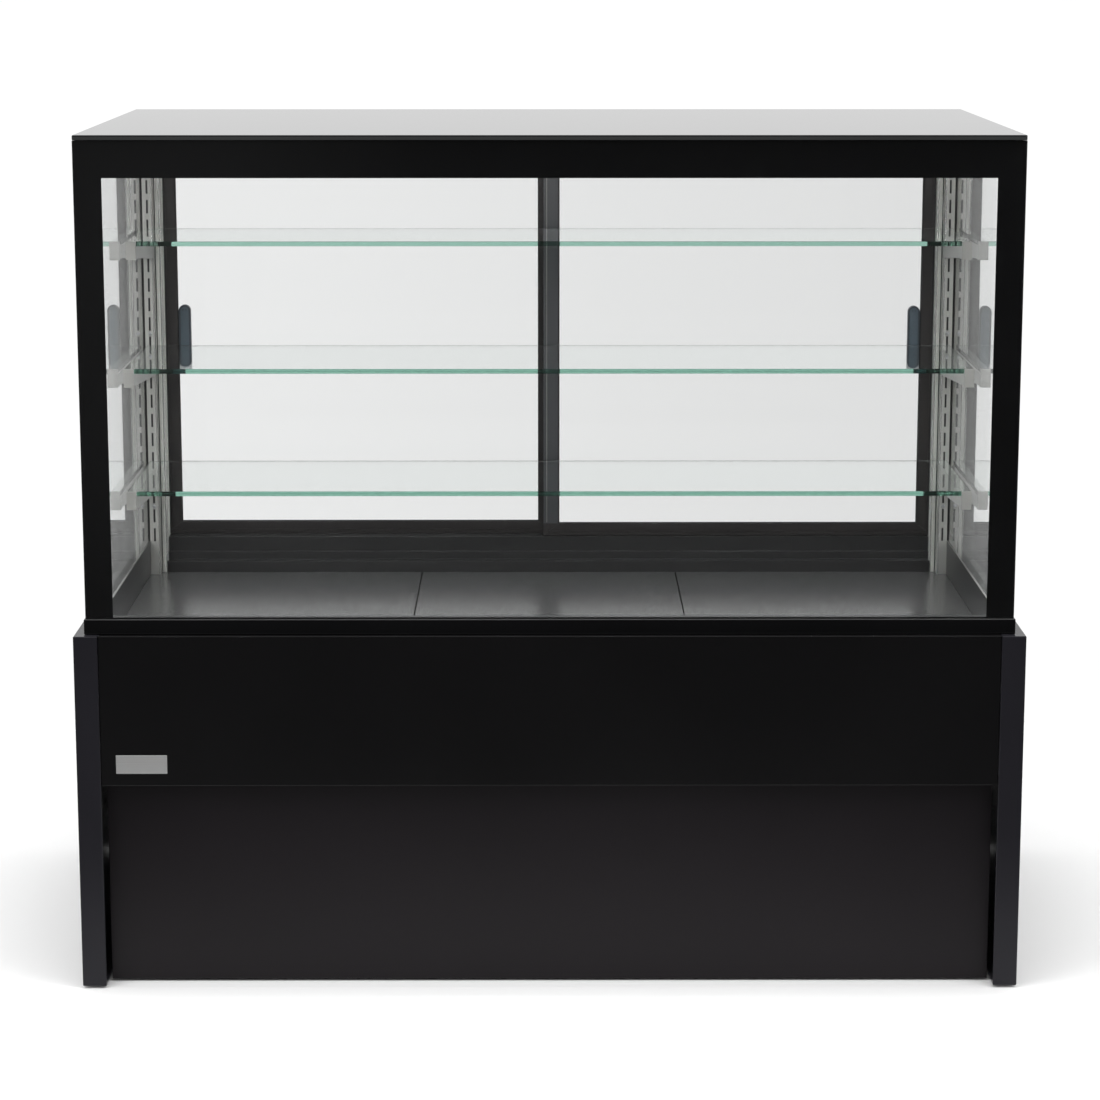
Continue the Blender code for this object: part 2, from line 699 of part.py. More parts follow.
def make_door(side, left, right, track, sign):
    """A sliding door: grooved frame, pane, finger cup and two rollers."""
    y0, y1 = track - DOOR_THICKNESS / 2, track + DOOR_THICKNESS / 2
    origin = ((left + right) / 2, track, DOOR_BOTTOM)
    low, high = (left, y0, DOOR_BOTTOM), (right, y1, DOOR_TOP)
    frame = box(f"{side}_door_frame", low, high, FRAME_BLACK, origin=origin)
    open_low = Vector((left + DOOR_STILE, y0 - 0.01, DOOR_BOTTOM + DOOR_RAIL))
    open_high = Vector((right - DOOR_STILE, y1 + 0.01, DOOR_TOP - DOOR_RAIL))
    holes = bmesh.new()
    add_box(holes, open_low, open_high)
    combine(frame, holes)
    rebate = bmesh.new()
    reach, half = GLASS_IN_FRAME + GAP, DOOR_GLASS / 2 + GAP
    add_box(
        rebate,
        (open_low.x - reach, track - half, open_low.z - reach),
        (open_high.x + reach, track + half, open_high.z + reach),
    )
    combine(frame, rebate)
    pockets = bmesh.new()
    roller_z = RAIL_TOP - TRACK_DEPTH + GAP + ROLLER_RADIUS
    room, side_room = ROLLER_RADIUS + 0.0015, ROLLER_WIDTH / 2 + 0.0008
    for end, x in (("left", left + ROLLER_INSET), ("right", right - ROLLER_INSET)):
        low = (x - room, track - side_room, DOOR_BOTTOM - 0.01)
        add_box(pockets, low, (x + room, track + side_room, roller_z + room))
        make_roller(f"{side}_door_{end}_roller", (x, track, roller_z))
    combine(frame, pockets)
    pane = box(
        f"{side}_door_glass",
        (open_low.x - GLASS_IN_FRAME, track - DOOR_GLASS / 2, open_low.z - GLASS_IN_FRAME),
        (open_high.x + GLASS_IN_FRAME, track + DOOR_GLASS / 2, open_high.z + GLASS_IN_FRAME),
        CLEAR,
        origin=origin,
    )
    pull_x = sign * PULL_X
    hole = bmesh.new()
    outline = pull_outline(pull_x, PULL_FLANGE - GAP)
    add_prism(hole, outline, "Y", track - 0.01, track + 0.01)
    combine(pane, hole)
    make_pull(f"{side}_door_pull", pull_x, track)


def make_roller(name, centre):
    x, track, z = centre
    mesh = bmesh.new()
    add_cylinder(mesh, centre, ROLLER_RADIUS, track - ROLLER_WIDTH / 2, track + ROLLER_WIDTH / 2, "Y", 24)
    roller = place(name, mesh, BLACK_PLASTIC, (x, track, z))
    smooth(roller)


def pull_outline(x, inset):
    """A pull's outline, brought in by the given amount all round."""
    return stadium((x, PULL_MIDDLE), PULL_WIDTH - 2 * inset, PULL_HEIGHT - 2 * inset)


def make_pull(name, x, track):
    """A flush finger cup through the pane: flanged both sides, open towards the rear."""
    face = DOOR_GLASS / 2 + GAP
    mesh = bmesh.new()
    inner = PULL_HALF - 0.0006
    add_prism(mesh, pull_outline(x, PULL_FLANGE), "Y", track - inner, track + inner)
    cup = place(name, mesh, PULL_GREY, (x, track, PULL_MIDDLE))
    flanges = bmesh.new()
    add_prism(flanges, pull_outline(x, 0.0), "Y", track - PULL_HALF, track - face)
    add_prism(flanges, pull_outline(x, 0.0), "Y", track + face, track + PULL_HALF)
    combine(cup, flanges, "UNION")
    recess = bmesh.new()
    add_prism(recess, pull_outline(x, PULL_FLANGE + 0.002), "Y", track - PULL_FLOOR, track + 0.02)
    combine(cup, recess)


def make_condenser():
    """Condenser coil with its fan, in a shroud that carries the motor."""
    low, high = (COIL_X[0], COIL_Y[0], COIL_Z[0]), (COIL_X[1], COIL_Y[1], COIL_Z[1])
    coil = box("condenser_coil", low, high, FIN_METAL)
    gaps = bmesh.new()
    half, depth, margin = 0.005, 0.022, 0.012
    pitch = (COIL_X[1] - COIL_X[0]) / (COIL_GAPS + 1)
    for i in range(COIL_GAPS):
        x = COIL_X[0] + (i + 1) * pitch
        for y in COIL_Y:
            near = (x - half, y - depth, COIL_Z[0] + margin)
            add_box(gaps, near, (x + half, y + depth, COIL_Z[1] - margin))
    combine(coil, gaps)
    low = Vector((COIL_X[0], SHROUD_FRONT, COIL_Z[0]))
    high = Vector((COIL_X[1], COIL_Y[0] - GAP, COIL_Z[1]))
    shroud = box("fan_shroud", low, high, STEEL)
    wall = Vector((SHROUD_SHEET, SHROUD_SHEET, SHROUD_SHEET))
    hollow = bmesh.new()
    add_box(hollow, low + wall, high - wall + Vector((0.0, 0.02, 0.0)))
    combine(shroud, hollow)
    mouth = bmesh.new()
    add_cylinder(mouth, FAN_CENTRE, FAN_RADIUS + 0.007, SHROUD_FRONT - 0.01, SHROUD_FRONT + 0.01, "Y", 40)
    combine(shroud, mouth)
    stay = bmesh.new()
    reach, half = FAN_RADIUS + 0.020, 0.012
    add_box(
        stay,
        (FAN_CENTRE.x - reach, SHROUD_FRONT - 0.006, FAN_CENTRE.z - half),
        (FAN_CENTRE.x + reach, SHROUD_FRONT + 0.001, FAN_CENTRE.z + half),
    )
    combine(shroud, stay, "UNION")
    motor = bmesh.new()
    add_cylinder(motor, FAN_CENTRE, 0.038, SHROUD_FRONT - 0.066, SHROUD_FRONT + 0.0005, "Y", 24)
    combine(shroud, motor, "UNION")
    make_fan()


def make_fan():
    hub = bmesh.new()
    add_cylinder(hub, FAN_CENTRE, 0.034, SHROUD_FRONT + 0.0012, 0.2100, "Y", 24)
    fan = place("condenser_fan", hub, BLACK_PLASTIC, FAN_CENTRE)
    smooth(fan)
    blades = bmesh.new()
    for i in range(FAN_BLADES):
        blade = bmesh.new()
        add_box(blade, (0.028, -0.0015, -0.030), (FAN_RADIUS, 0.0015, 0.030))
        pitch_turn = Matrix.Rotation(math.radians(16), 4, "X")
        spin = Matrix.Rotation(2 * math.pi * i / FAN_BLADES, 4, "Y")
        shift = Matrix.Translation((FAN_CENTRE.x, 0.1993, FAN_CENTRE.z))
        bmesh.ops.transform(blade, matrix=shift @ spin @ pitch_turn, verts=blade.verts)
        data = bpy.data.meshes.new("blade")
        blade.to_mesh(data)
        blade.free()
        blades.from_mesh(data)
        bpy.data.meshes.remove(data)
    combine(fan, blades, "UNION")


def make_compressor():
    """A hermetic shell on its mounting plate."""
    x, y = COMPRESSOR_AT
    base = CHASSIS_LOW.z + CHASSIS_SHEET + GAP
    dome = [(0.0, 0.190), (0.030, 0.188), (0.060, 0.176), (0.080, 0.150), (0.086, 0.115)]
    dome += [(0.086, 0.060), (0.078, 0.030), (0.060, 0.012), (0.0, 0.010)]
    compressor = turned("compressor", dome, (x, y, base), COMPRESSOR_BLACK, 24)
    mount = bmesh.new()
    add_box(mount, (x - 0.110, y - 0.080, base), (x + 0.110, y + 0.080, base + 0.016))
    combine(compressor, mount, "UNION")


def make_evaporator():
    """Finned evaporator whose end plates carry the blower's shaft."""
    half, bottom, top = EVAPORATOR_HALF, 0.385, 0.495
    coil = box("evaporator_coil", (-half, 0.020, bottom), (half, 0.140, top), FIN_METAL)
    gaps = bmesh.new()
    pitch = 2 * half / EVAPORATOR_GAPS
    for i in range(EVAPORATOR_GAPS):
        x = -half + (i + 0.5) * pitch
        add_box(gaps, (x - 0.35 * pitch, 0.0, bottom + 0.015), (x + 0.35 * pitch, 0.16, top + 0.01))
    combine(coil, gaps)
    plates = bmesh.new()
    thickness = 0.004
    for x in (-half - 0.001, half + 0.001):
        low = (x - thickness / 2, -0.110, TUB_BOTTOM + TUB_WALL + GAP)
        add_box(plates, low, (x + thickness / 2, 0.140, top + 0.010))
    combine(coil, plates, "UNION")
    bearings = bmesh.new()
    bearing = SHAFT_RADIUS + 0.00007
    add_cylinder(bearings, BLOWER_CENTRE, bearing, -half - 0.1, 0.01 - half, "X", 48)
    add_cylinder(bearings, BLOWER_CENTRE, bearing, half - 0.01, half + 0.1, "X", 48)
    combine(coil, bearings)
    outline = []
    for i in range(BLOWER_TEETH * 2):
        radius = BLOWER_RADIUS if i % 2 else BLOWER_RADIUS - 0.009
        angle = math.pi * i / BLOWER_TEETH
        across, up = radius * math.cos(angle), radius * math.sin(angle)
        outline.append((BLOWER_CENTRE.y + across, BLOWER_CENTRE.z + up))
    length = (-BLOWER_HALF, BLOWER_HALF)
    blower = prism("evaporator_blower", outline, "X", *length, BLACK_PLASTIC, BLOWER_CENTRE)
    shaft = bmesh.new()
    end = half + 0.012
    add_cylinder(shaft, BLOWER_CENTRE, SHAFT_RADIUS, -end, end, "X", 48)
    combine(blower, shaft, "UNION")


def make_controls():
    """The control panel with two keys and the light's rocker."""
    panel = box(
        "control_panel",
        (PANEL_X[0], REAR_FACE + GAP, PANEL_Z[0]),
        (PANEL_X[1], PANEL_FACE, PANEL_Z[1]),
        BLACK_PLASTIC,
        bevel=0.0010,
    )
    holes = bmesh.new()
    pivot = ROCKER_PIVOT
    half_x, half_z = ROCKER_HALF + 0.0009, 0.0105
    low = (pivot.x - half_x, REAR_FACE - 0.01, pivot.z - half_z)
    add_box(holes, low, (pivot.x + half_x, REAR_FACE + 0.01, pivot.z + half_z))
    half_z = 0.014
    low = (DISPLAY_X[0], PANEL_FACE - 0.0008, pivot.z - half_z)
    add_box(holes, low, (DISPLAY_X[1], PANEL_FACE + 0.01, pivot.z + half_z))
    x, base, slack = KEY_X, PANEL_FACE - 0.0022, 0.0003
    half_x, half_z = KEY_SIZE[0] / 2, KEY_SIZE[1] / 2
    for name, z in (("set_key", pivot.z + KEY_APART), ("standby_key", pivot.z - KEY_APART)):
        add_box(
            holes,
            (x - half_x - slack, base - KEY_TRAVEL - slack, z - half_z - slack),
            (x + half_x + slack, PANEL_FACE + 0.01, z + half_z + slack),
        )
        box(
            name,
            (x - half_x, base, z - half_z),
            (x + half_x, PANEL_FACE + KEY_TRAVEL, z + half_z),
            KEY_GREY,
            bevel=0.0003,
            origin=(x, base, z),
        )
    combine(panel, holes)
    section = [
        (0.0045, -0.0088),
        (0.0030, 0.0),
        (0.0045, 0.0088),
        (-0.0020, 0.0080),
        (-0.0065, 0.0),
        (-0.0020, -0.0080),
    ]
    turn = Matrix.Rotation(-ROCKER_TILT, 2)
    tilted = [(pivot.y + p.x, pivot.z + p.y) for p in (turn @ Vector(point) for point in section)]
    ends = (pivot.x - ROCKER_HALF, pivot.x + ROCKER_HALF)
    prism("light_rocker", tilted, "X", *ends, KEY_GREY, pivot)


make_chassis()
make_plinth()
make_rear_panels()
make_tub()
make_deck()
make_surround()
make_glazing()
make_rear_frame()
make_shelves()
make_door("right", -DOOR_OVERLAP, DOOR_OUTER, NEAR_TRACK, 1)
make_door("left", -DOOR_OUTER, DOOR_OVERLAP, FAR_TRACK, -1)
make_condenser()
make_compressor()
make_evaporator()
make_controls()
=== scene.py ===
"""Looks of the refrigerated deli case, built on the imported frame.

Units are metres, +Z is up and -Y is the customer's side. Places come from the frame's own
nodes, so every piece sits where the solid model says.
"""

import json
import math

import bmesh
import bpy
from mathutils import Matrix, Vector


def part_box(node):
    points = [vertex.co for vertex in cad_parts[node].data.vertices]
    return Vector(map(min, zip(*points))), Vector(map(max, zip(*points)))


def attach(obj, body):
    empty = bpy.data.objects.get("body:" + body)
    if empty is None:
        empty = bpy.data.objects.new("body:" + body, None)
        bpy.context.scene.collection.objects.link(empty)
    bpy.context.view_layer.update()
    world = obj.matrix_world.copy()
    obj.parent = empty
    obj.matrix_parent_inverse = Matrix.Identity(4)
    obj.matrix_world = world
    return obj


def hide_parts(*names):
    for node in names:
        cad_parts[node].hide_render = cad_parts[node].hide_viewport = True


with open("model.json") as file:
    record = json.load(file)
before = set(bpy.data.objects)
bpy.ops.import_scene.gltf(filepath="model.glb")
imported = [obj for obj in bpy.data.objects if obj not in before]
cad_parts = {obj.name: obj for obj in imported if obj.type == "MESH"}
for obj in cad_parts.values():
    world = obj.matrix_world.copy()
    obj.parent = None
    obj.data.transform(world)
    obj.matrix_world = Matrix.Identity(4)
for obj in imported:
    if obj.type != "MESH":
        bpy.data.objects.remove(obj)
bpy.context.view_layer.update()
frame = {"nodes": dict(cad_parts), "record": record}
NODES = frame["nodes"]
SCENE = bpy.context.scene
SIDES = ("left", "right")
SIGNS = (("left", -1), ("right", 1))  # each side with the sign of its X
LEVELS = ("top", "middle", "lower")
SKIN = 0.0002  # how far a thin strip stands off, or sinks into, the face that it lies on


# ---------------------------------------------------------------- materials


def shader(name, colour, roughness, metallic=0.0, **sockets):
    """A Principled material; further sockets are set by their names."""
    made = bpy.data.materials.new(name)
    made.use_nodes = True
    tree = made.node_tree
    surface = tree.nodes["Principled BSDF"]
    surface.inputs["Base Color"].default_value = (*colour, 1.0)
    surface.inputs["Roughness"].default_value = roughness
    surface.inputs["Metallic"].default_value = metallic
    for socket, value in sockets.items():
        surface.inputs[socket.replace("_", " ")].default_value = value
    return made


def surface_of(material):
    """The material's Principled shader."""
    return material.node_tree.nodes["Principled BSDF"]


def node(material, kind, **values):
    """Adds a node; values are its own settings or its inputs' defaults."""
    made = material.node_tree.nodes.new(kind)
    for key, value in values.items():
        if hasattr(made, key):
            setattr(made, key, value)
        else:
            made.inputs[key.replace("_", " ")].default_value = value
    return made


def link(material, start, end):
    material.node_tree.links.new(start, end)


def noise(material, scale, stretch=(1.0, 1.0, 1.0), detail=3.0):
    """Noise in object space, in features per metre, finer along stretched axes."""
    place = node(material, "ShaderNodeTexCoord")
    mapping = node(material, "ShaderNodeMapping")
    mapping.inputs["Scale"].default_value = stretch
    texture = node(material, "ShaderNodeTexNoise", Scale=scale, Detail=detail)
    link(material, place.outputs["Object"], mapping.inputs["Vector"])
    link(material, mapping.outputs["Vector"], texture.inputs["Vector"])
    return texture.outputs["Fac"]


def vary_roughness(material, source, low, high):
    """Lets a source from 0 to 1 drive the roughness between two values."""
    span = node(material, "ShaderNodeMapRange")
    span.inputs["To Min"].default_value = low
    span.inputs["To Max"].default_value = high
    link(material, source, span.inputs["Value"])
    link(material, span.outputs["Result"], surface_of(material).inputs["Roughness"])


def vary_colour(material, source, low, high):
    """Lets a source from 0 to 1 drive the colour between two tones."""
    ramp = node(material, "ShaderNodeValToRGB")
    ramp.color_ramp.elements[0].position = 0.3
    ramp.color_ramp.elements[1].position = 0.7
    ramp.color_ramp.elements[0].color = (*low, 1.0)
    ramp.color_ramp.elements[1].color = (*high, 1.0)
    link(material, source, ramp.inputs["Fac"])
    link(material, ramp.outputs["Color"], surface_of(material).inputs["Base Color"])


def bump(material, source, depth):
    step = node(material, "ShaderNodeBump", Strength=1.0, Distance=depth)
    link(material, source, step.inputs["Height"])
    link(material, step.outputs["Normal"], surface_of(material).inputs["Normal"])


def scaled(colour, factor):
    return tuple(channel * factor for channel in colour)


def coated(name, colour, roughness, grain, depth, specular, spread=0.12, play=0.04):
    """Paint or powder coat: a fine skin, with slightly uneven gloss and tone."""
    made = shader(name, colour, roughness, Specular_IOR_Level=specular)
    broad = noise(made, 3.0, detail=4.0)
    vary_roughness(made, broad, roughness - play, roughness + play)
    vary_colour(made, broad, scaled(colour, 1.0 - spread), scaled(colour, 1.0 + spread))
    bump(made, noise(made, grain, detail=2.0), depth)
    return made


def brushed(name, colour, roughness, along="Z", metallic=1.0, spread=0.06):
    """Metal with fine drawn lines along one axis, or an even grain if it has none."""
    made = shader(name, colour, roughness, metallic)
    stretch = [0.006 if axis == along else 1.0 for axis in "XYZ"]
    lines = noise(made, 1400.0, stretch)
    vary_roughness(made, lines, roughness - 0.05, roughness + 0.06)
    vary_colour(made, lines, scaled(colour, 1.0 - spread), scaled(colour, 1.0 + spread))
    bump(made, lines, 1e-6)
    return made


def moulded(name, colour, roughness, specular=0.4):
    """Moulded plastic with a fine spark texture."""
    made = shader(name, colour, roughness, Specular_IOR_Level=specular)
    vary_roughness(made, noise(made, 40.0), roughness - 0.05, roughness + 0.05)
    bump(made, noise(made, 1500.0, detail=2.0), 1e-5)
    return made


def glass(name, absorb, density):
    """Clear sheet glass, tinted in its body, that lets the lamps shine through it."""
    made = shader(name, (1.0, 1.0, 1.0), 0.0, Transmission_Weight=1.0, IOR=1.5)
    body = node(made, "ShaderNodeVolumeAbsorption", Density=density)
    body.inputs["Color"].default_value = (*absorb, 1.0)
    output = made.node_tree.nodes["Material Output"]
    link(made, body.outputs["Volume"], output.inputs["Volume"])
    path = node(made, "ShaderNodeLightPath")
    lamplight = node(made, "ShaderNodeBsdfTransparent")
    choice = node(made, "ShaderNodeMixShader")
    link(made, path.outputs["Is Shadow Ray"], choice.inputs["Fac"])
    link(made, surface_of(made).outputs["BSDF"], choice.inputs[1])
    link(made, lamplight.outputs["BSDF"], choice.inputs[2])
    link(made, choice.outputs["Shader"], output.inputs["Surface"])
    return made


# Coated finishes: colour, roughness, grains per metre, depth of grain in metres, specular level.
LACQUER = coated("gloss_black_lacquer", (0.0042, 0.0040, 0.0043), 0.16, 420.0, 2e-6, 0.44, play=0.02)
RAIL_BLACK = coated("gloss_black_rail", (0.0028, 0.0028, 0.0032), 0.16, 420.0, 2e-6, 0.44, play=0.02)
SIDE_BLACK = coated("blue_black_powder_coat", (0.0152, 0.0146, 0.0181), 0.22, 1400.0, 6e-6, 0.18, play=0.03)
KICK_BLACK = coated("warm_black_powder_coat", (0.0072, 0.0055, 0.0069), 0.36, 1400.0, 2e-5, 0.20)
DECK_STEEL = coated("dark_deck_steel", (0.063, 0.063, 0.064), 0.23, 900.0, 3e-7, 0.95, 0.04, 0.01)
SURROUND_STEEL = brushed("dark_upstand_steel", (0.075, 0.075, 0.075), 0.30, "Y", 0.6)
# Painted highlight: a pale steel that stands in for the light caught by the surround's rims.
RIM_HIGHLIGHT = brushed("painted_rim_highlight", (0.50, 0.50, 0.49), 0.30, "Y")
SILVER = brushed("silver_anodised_aluminium", (0.80, 0.79, 0.76), 0.32, "Z", 0.35)
# Also used for the painted highlight line on the doors' meeting strip.
UPRIGHT_GREY_AND_HIGHLIGHT = brushed("grey_anodised_upright_and_line_highlight", (0.44, 0.432, 0.412), 0.30, "Z", 0.45)
SILVER_LIP = brushed("bright_drawn_lip", (0.80, 0.79, 0.77), 0.20, "Z", 0.9)
STEEL = brushed("zinc_plated_steel", (0.48, 0.48, 0.50), 0.38, "none", spread=0.15)
FINS = brushed("aluminium_fins", (0.66, 0.66, 0.66), 0.40, "Z")
COPPER = brushed("copper_pipe", (0.72, 0.36, 0.22), 0.32, "none", spread=0.15)
BRACKET_GREY = coated("bracket_grey_paint", (0.255, 0.252, 0.241), 0.42, 1400.0, 2e-5, 0.5, 0.04)
FRAME_BLACK = brushed("black_anodised_frame", (0.036, 0.032, 0.032), 0.34, "Z", 0.3)
SILL_BLACK = brushed("black_anodised_sill", (0.033, 0.0325, 0.033), 0.23, "X", 0.3)
MEETING_GREY = brushed("meeting_strip_anodised", (0.090, 0.091, 0.097), 0.30, "Z", 0.4)
# Ground glass edge whose lighter grey is partly a painted highlight along the top sheet's front edge.
GROUND_EDGE_HIGHLIGHT = coated("ground_glass_edge_and_highlight", (0.030, 0.031, 0.031), 0.30, 900.0, 2e-6, 0.5)
# Painted highlight: a lighter grey that stands in for the light caught along the base rail's front edge.
RAIL_HIGHLIGHT = coated("painted_rail_edge_highlight", (0.055, 0.055, 0.056), 0.45, 900.0, 2e-6, 0.3)
# A darker, duller copy of the deck steel: its darker tone is painted shade in the gap behind the front
# glass.
LEDGE_SHADED_STEEL = coated("dull_shaded_ledge_steel", (0.035, 0.035, 0.036), 0.38, 900.0, 3e-7, 0.18, 0.04, 0.01)
# Black mouldings; also used as painted shade in the depth of the uprights' slots.
BLACK_PLASTIC_AND_SHADE = moulded("black_moulding_and_painted_shade", (0.016, 0.016, 0.017), 0.45)
PULL_GREY = moulded("blue_grey_moulding", (0.033, 0.041, 0.052), 0.34, 0.5)
PULL_INLAY = moulded("pale_blue_grey_moulding", (0.068, 0.090, 0.110), 0.30, 0.5)
KEY_GREY = moulded("grey_key_moulding", (0.16, 0.165, 0.175), 0.42)
RUBBER = moulded("black_rubber", (0.012, 0.012, 0.012), 0.70, 0.3)
GLASS_BED = moulded("matt_black_bed", (0.005, 0.005, 0.005), 0.9, 0.0)
# Black silicone; also used as painted shade beside the uprights and in the jambs' grooves.
SEALANT_AND_SHADE = moulded("black_silicone_and_painted_shade", (0.008, 0.008, 0.008), 0.35, 0.4)
TUB_LINING = moulded("pale_tub_lining", (0.42, 0.43, 0.44), 0.45)
DISPLAY_LENS = moulded("smoked_display_lens", (0.004, 0.004, 0.006), 0.10, 0.5)
DIFFUSER = moulded("opal_diffuser", (0.82, 0.83, 0.84), 0.50, 0.5)
BLACK_GLASS = coated("black_top_glass", (0.004, 0.004, 0.0045), 0.05, 60.0, 4e-7, 0.5, play=0.012)
PRINT = coated("black_printed_enamel", (0.0018, 0.0018, 0.0020), 0.35, 900.0, 2e-6, 0.06)
CLEAR = glass("clear_glass", (0.72, 0.92, 0.86), 3.0)
SHELF = glass("shelf_glass", (0.55, 0.80, 0.72), 8.5)
BADGE = brushed("plain_badge_plate", (0.65, 0.65, 0.645), 0.35, "X", 0.8)
SHELL_BLACK = coated("compressor_black_enamel", (0.012, 0.012, 0.013), 0.28, 300.0, 2e-5, 0.5)

FINISHES = {
    LACQUER: ["front_fascia", "rear_fascia", "service_grille", "canopy_panel"],
    RAIL_BLACK: ["glass_base_rail"],
    SIDE_BLACK: ["left_side_panel", "right_side_panel"],
    KICK_BLACK: ["kick_panel"],
    DECK_STEEL: ["left_deck_pan", "middle_deck_pan", "right_deck_pan"],
    SURROUND_STEEL: ["display_surround"],
    SILVER: ["left_jamb", "right_jamb", "led_lamp"],
    UPRIGHT_GREY_AND_HIGHLIGHT: ["left_slotted_upright", "right_slotted_upright"],
    STEEL: ["chassis_base", "fan_shroud"],
    FINS: ["condenser_coil", "evaporator_coil"],
    BRACKET_GREY: [f"{level}_{side}_bracket" for level in LEVELS for side in SIDES],
    FRAME_BLACK: ["left_door_frame", "right_door_frame"],
    SILL_BLACK: ["rear_sill", "rear_head"],
    BLACK_PLASTIC_AND_SHADE: ["cable_gland", "condenser_fan", "evaporator_blower", "control_panel"]
    + [f"{door}_door_{end}_roller" for door in SIDES for end in SIDES],
    PULL_GREY: ["left_door_pull", "right_door_pull"],
    KEY_GREY: ["light_rocker", "set_key", "standby_key"],
    RUBBER: ["front_left_foot", "front_right_foot", "rear_left_foot", "rear_right_foot"],
    TUB_LINING: ["insulated_tub"],
    BLACK_GLASS: ["top_panel"],
    CLEAR: ["front_glass", "left_door_glass", "right_door_glass"],
    SHELF: ["top_shelf", "middle_shelf", "lower_shelf"],
    BADGE: ["badge_plate"],
    SHELL_BLACK: ["compressor"],
}
FINISH_OF = {name: material for material, names in FINISHES.items() for name in names}
for name, material in FINISH_OF.items():
    NODES[name].material_slots[0].material = material

RECORD = frame["record"]
BODY_OF = {name: body for body, names in RECORD["behaviour"]["bodies"].items() for name in names}


# ---------------------------------------------------------------- mesh helpers


def piece(name, mesh, material, body="cabinet", bevel=0.0, smooth=False):
    """Turns a bmesh into a visible piece that rides on a body."""
    data = bpy.data.meshes.new(name)
    bmesh.ops.recalc_face_normals(mesh, faces=mesh.faces)
    mesh.to_mesh(data)
    mesh.free()
    data.materials.append(material)
    made = bpy.data.objects.new(name, data)
    SCENE.collection.objects.link(made)
    if bevel:
        rounded = made.modifiers.new("edges", "BEVEL")
        rounded.width = bevel
        rounded.segments = 3
        rounded.limit_method = "ANGLE"
        data.shade_smooth()
        flat = made.modifiers.new("flat_faces", "WEIGHTED_NORMAL")
        flat.mode = "FACE_AREA"
        flat.weight = 100
    if smooth:
        data.shade_smooth()
        data.set_sharp_from_angle(angle=math.radians(40))
    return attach(made, body)


def add_box(mesh, low, high):
    """Adds a box between two opposite corners."""
    low, high = Vector(low), Vector(high)
    place = Matrix.Translation((low + high) / 2) @ Matrix.Diagonal((*(high - low), 1.0))
    bmesh.ops.create_cube(mesh, size=1.0, matrix=place)


def boxes(name, corners, material, body="cabinet", bevel=0.0):
    """One piece made of boxes, each given by its two corners."""
    mesh = bmesh.new()
    for low, high in corners:
        add_box(mesh, low, high)
    return piece(name, mesh, material, body, bevel)


def prism(name, outline, axis, start, end, material, body="cabinet", bevel=0.0):
    """A flat outline drawn out along X, Y or Z; its points are in the other two axes."""
    mesh = bmesh.new()
    at = "XYZ".index(axis)
    ends = []
    for value in (start, end):
        ring = []
        for point in outline:
            spot = list(point)
            spot.insert(at, value)
            ring.append(mesh.verts.new(spot))
        ends.append(ring)
        mesh.faces.new(ring)
    for i in range(len(outline)):
        mesh.faces.new((ends[0][i - 1], ends[0][i], ends[1][i], ends[1][i - 1]))
    return piece(name, mesh, material, body, bevel)


def stadium(middle, width, height):
    """An upright outline with round ends."""
    count = 10
    radius = width / 2
    points = []
    for end, start in ((1, 0.0), (-1, math.pi)):
        for i in range(count + 1):
            angle = start + math.pi * i / count
            rise = end * (height / 2 - radius)
            x = middle[0] + radius * math.cos(angle)
            points.append((x, middle[1] + rise + radius * math.sin(angle)))
    return points


def tube(name, points, radius, material, body="cabinet", closed=False):
    """A pipe or wire through the given points."""
    data = bpy.data.curves.new(name, "CURVE")
    data.dimensions = "3D"
    data.bevel_depth = radius
    data.bevel_resolution = 3
    data.use_fill_caps = True
    data.resolution_u = 6
    line = data.splines.new("BEZIER")
    line.bezier_points.add(len(points) - 1)
    for spot, point in zip(line.bezier_points, points):
        spot.co = point
        spot.handle_left_type = spot.handle_right_type = "AUTO"
    line.use_cyclic_u = closed
    data.materials.append(material)
    made = bpy.data.objects.new(name, data)
    SCENE.collection.objects.link(made)
    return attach(made, body)


def add_screw(mesh, at, axis, radius):
    """A domed head with a six-sided socket, its underside at a point."""
    steps = 24
    turn = Vector((0.0, 0.0, 1.0)).rotation_difference(Vector(axis)).to_matrix()
    hexagon = math.pi / 3
    rings = []
    for share, height, six in (
        (1.00, 0.00, False),
        (0.97, 0.20, False),
        (0.84, 0.40, False),
        (0.60, 0.52, False),
        (0.40, 0.52, True),
        (0.38, 0.16, True),
    ):
        ring = []
        for i in range(steps):
            angle = 2 * math.pi * i / steps
            reach = radius * share
            if six:
                reach /= math.cos(angle % hexagon - hexagon / 2)
            spot = Vector((reach * math.cos(angle), reach * math.sin(angle), radius * height))
            ring.append(mesh.verts.new(turn @ spot + Vector(at)))
        rings.append(ring)
    for low, high in zip(rings, rings[1:]):
        for i in range(steps):
            mesh.faces.new((low[i - 1], low[i], high[i], high[i - 1]))
    mesh.faces.new(rings[0])
    mesh.faces.new(rings[-1])


def screws(name, places, axis, radius, material, body="cabinet"):
    """One piece made of like screws."""
    mesh = bmesh.new()
    for at in places:
        add_screw(mesh, at, axis, radius)
    return piece(name, mesh, material, body, smooth=True)


MITRE = 0.00012  # half the joint between two mitred bars


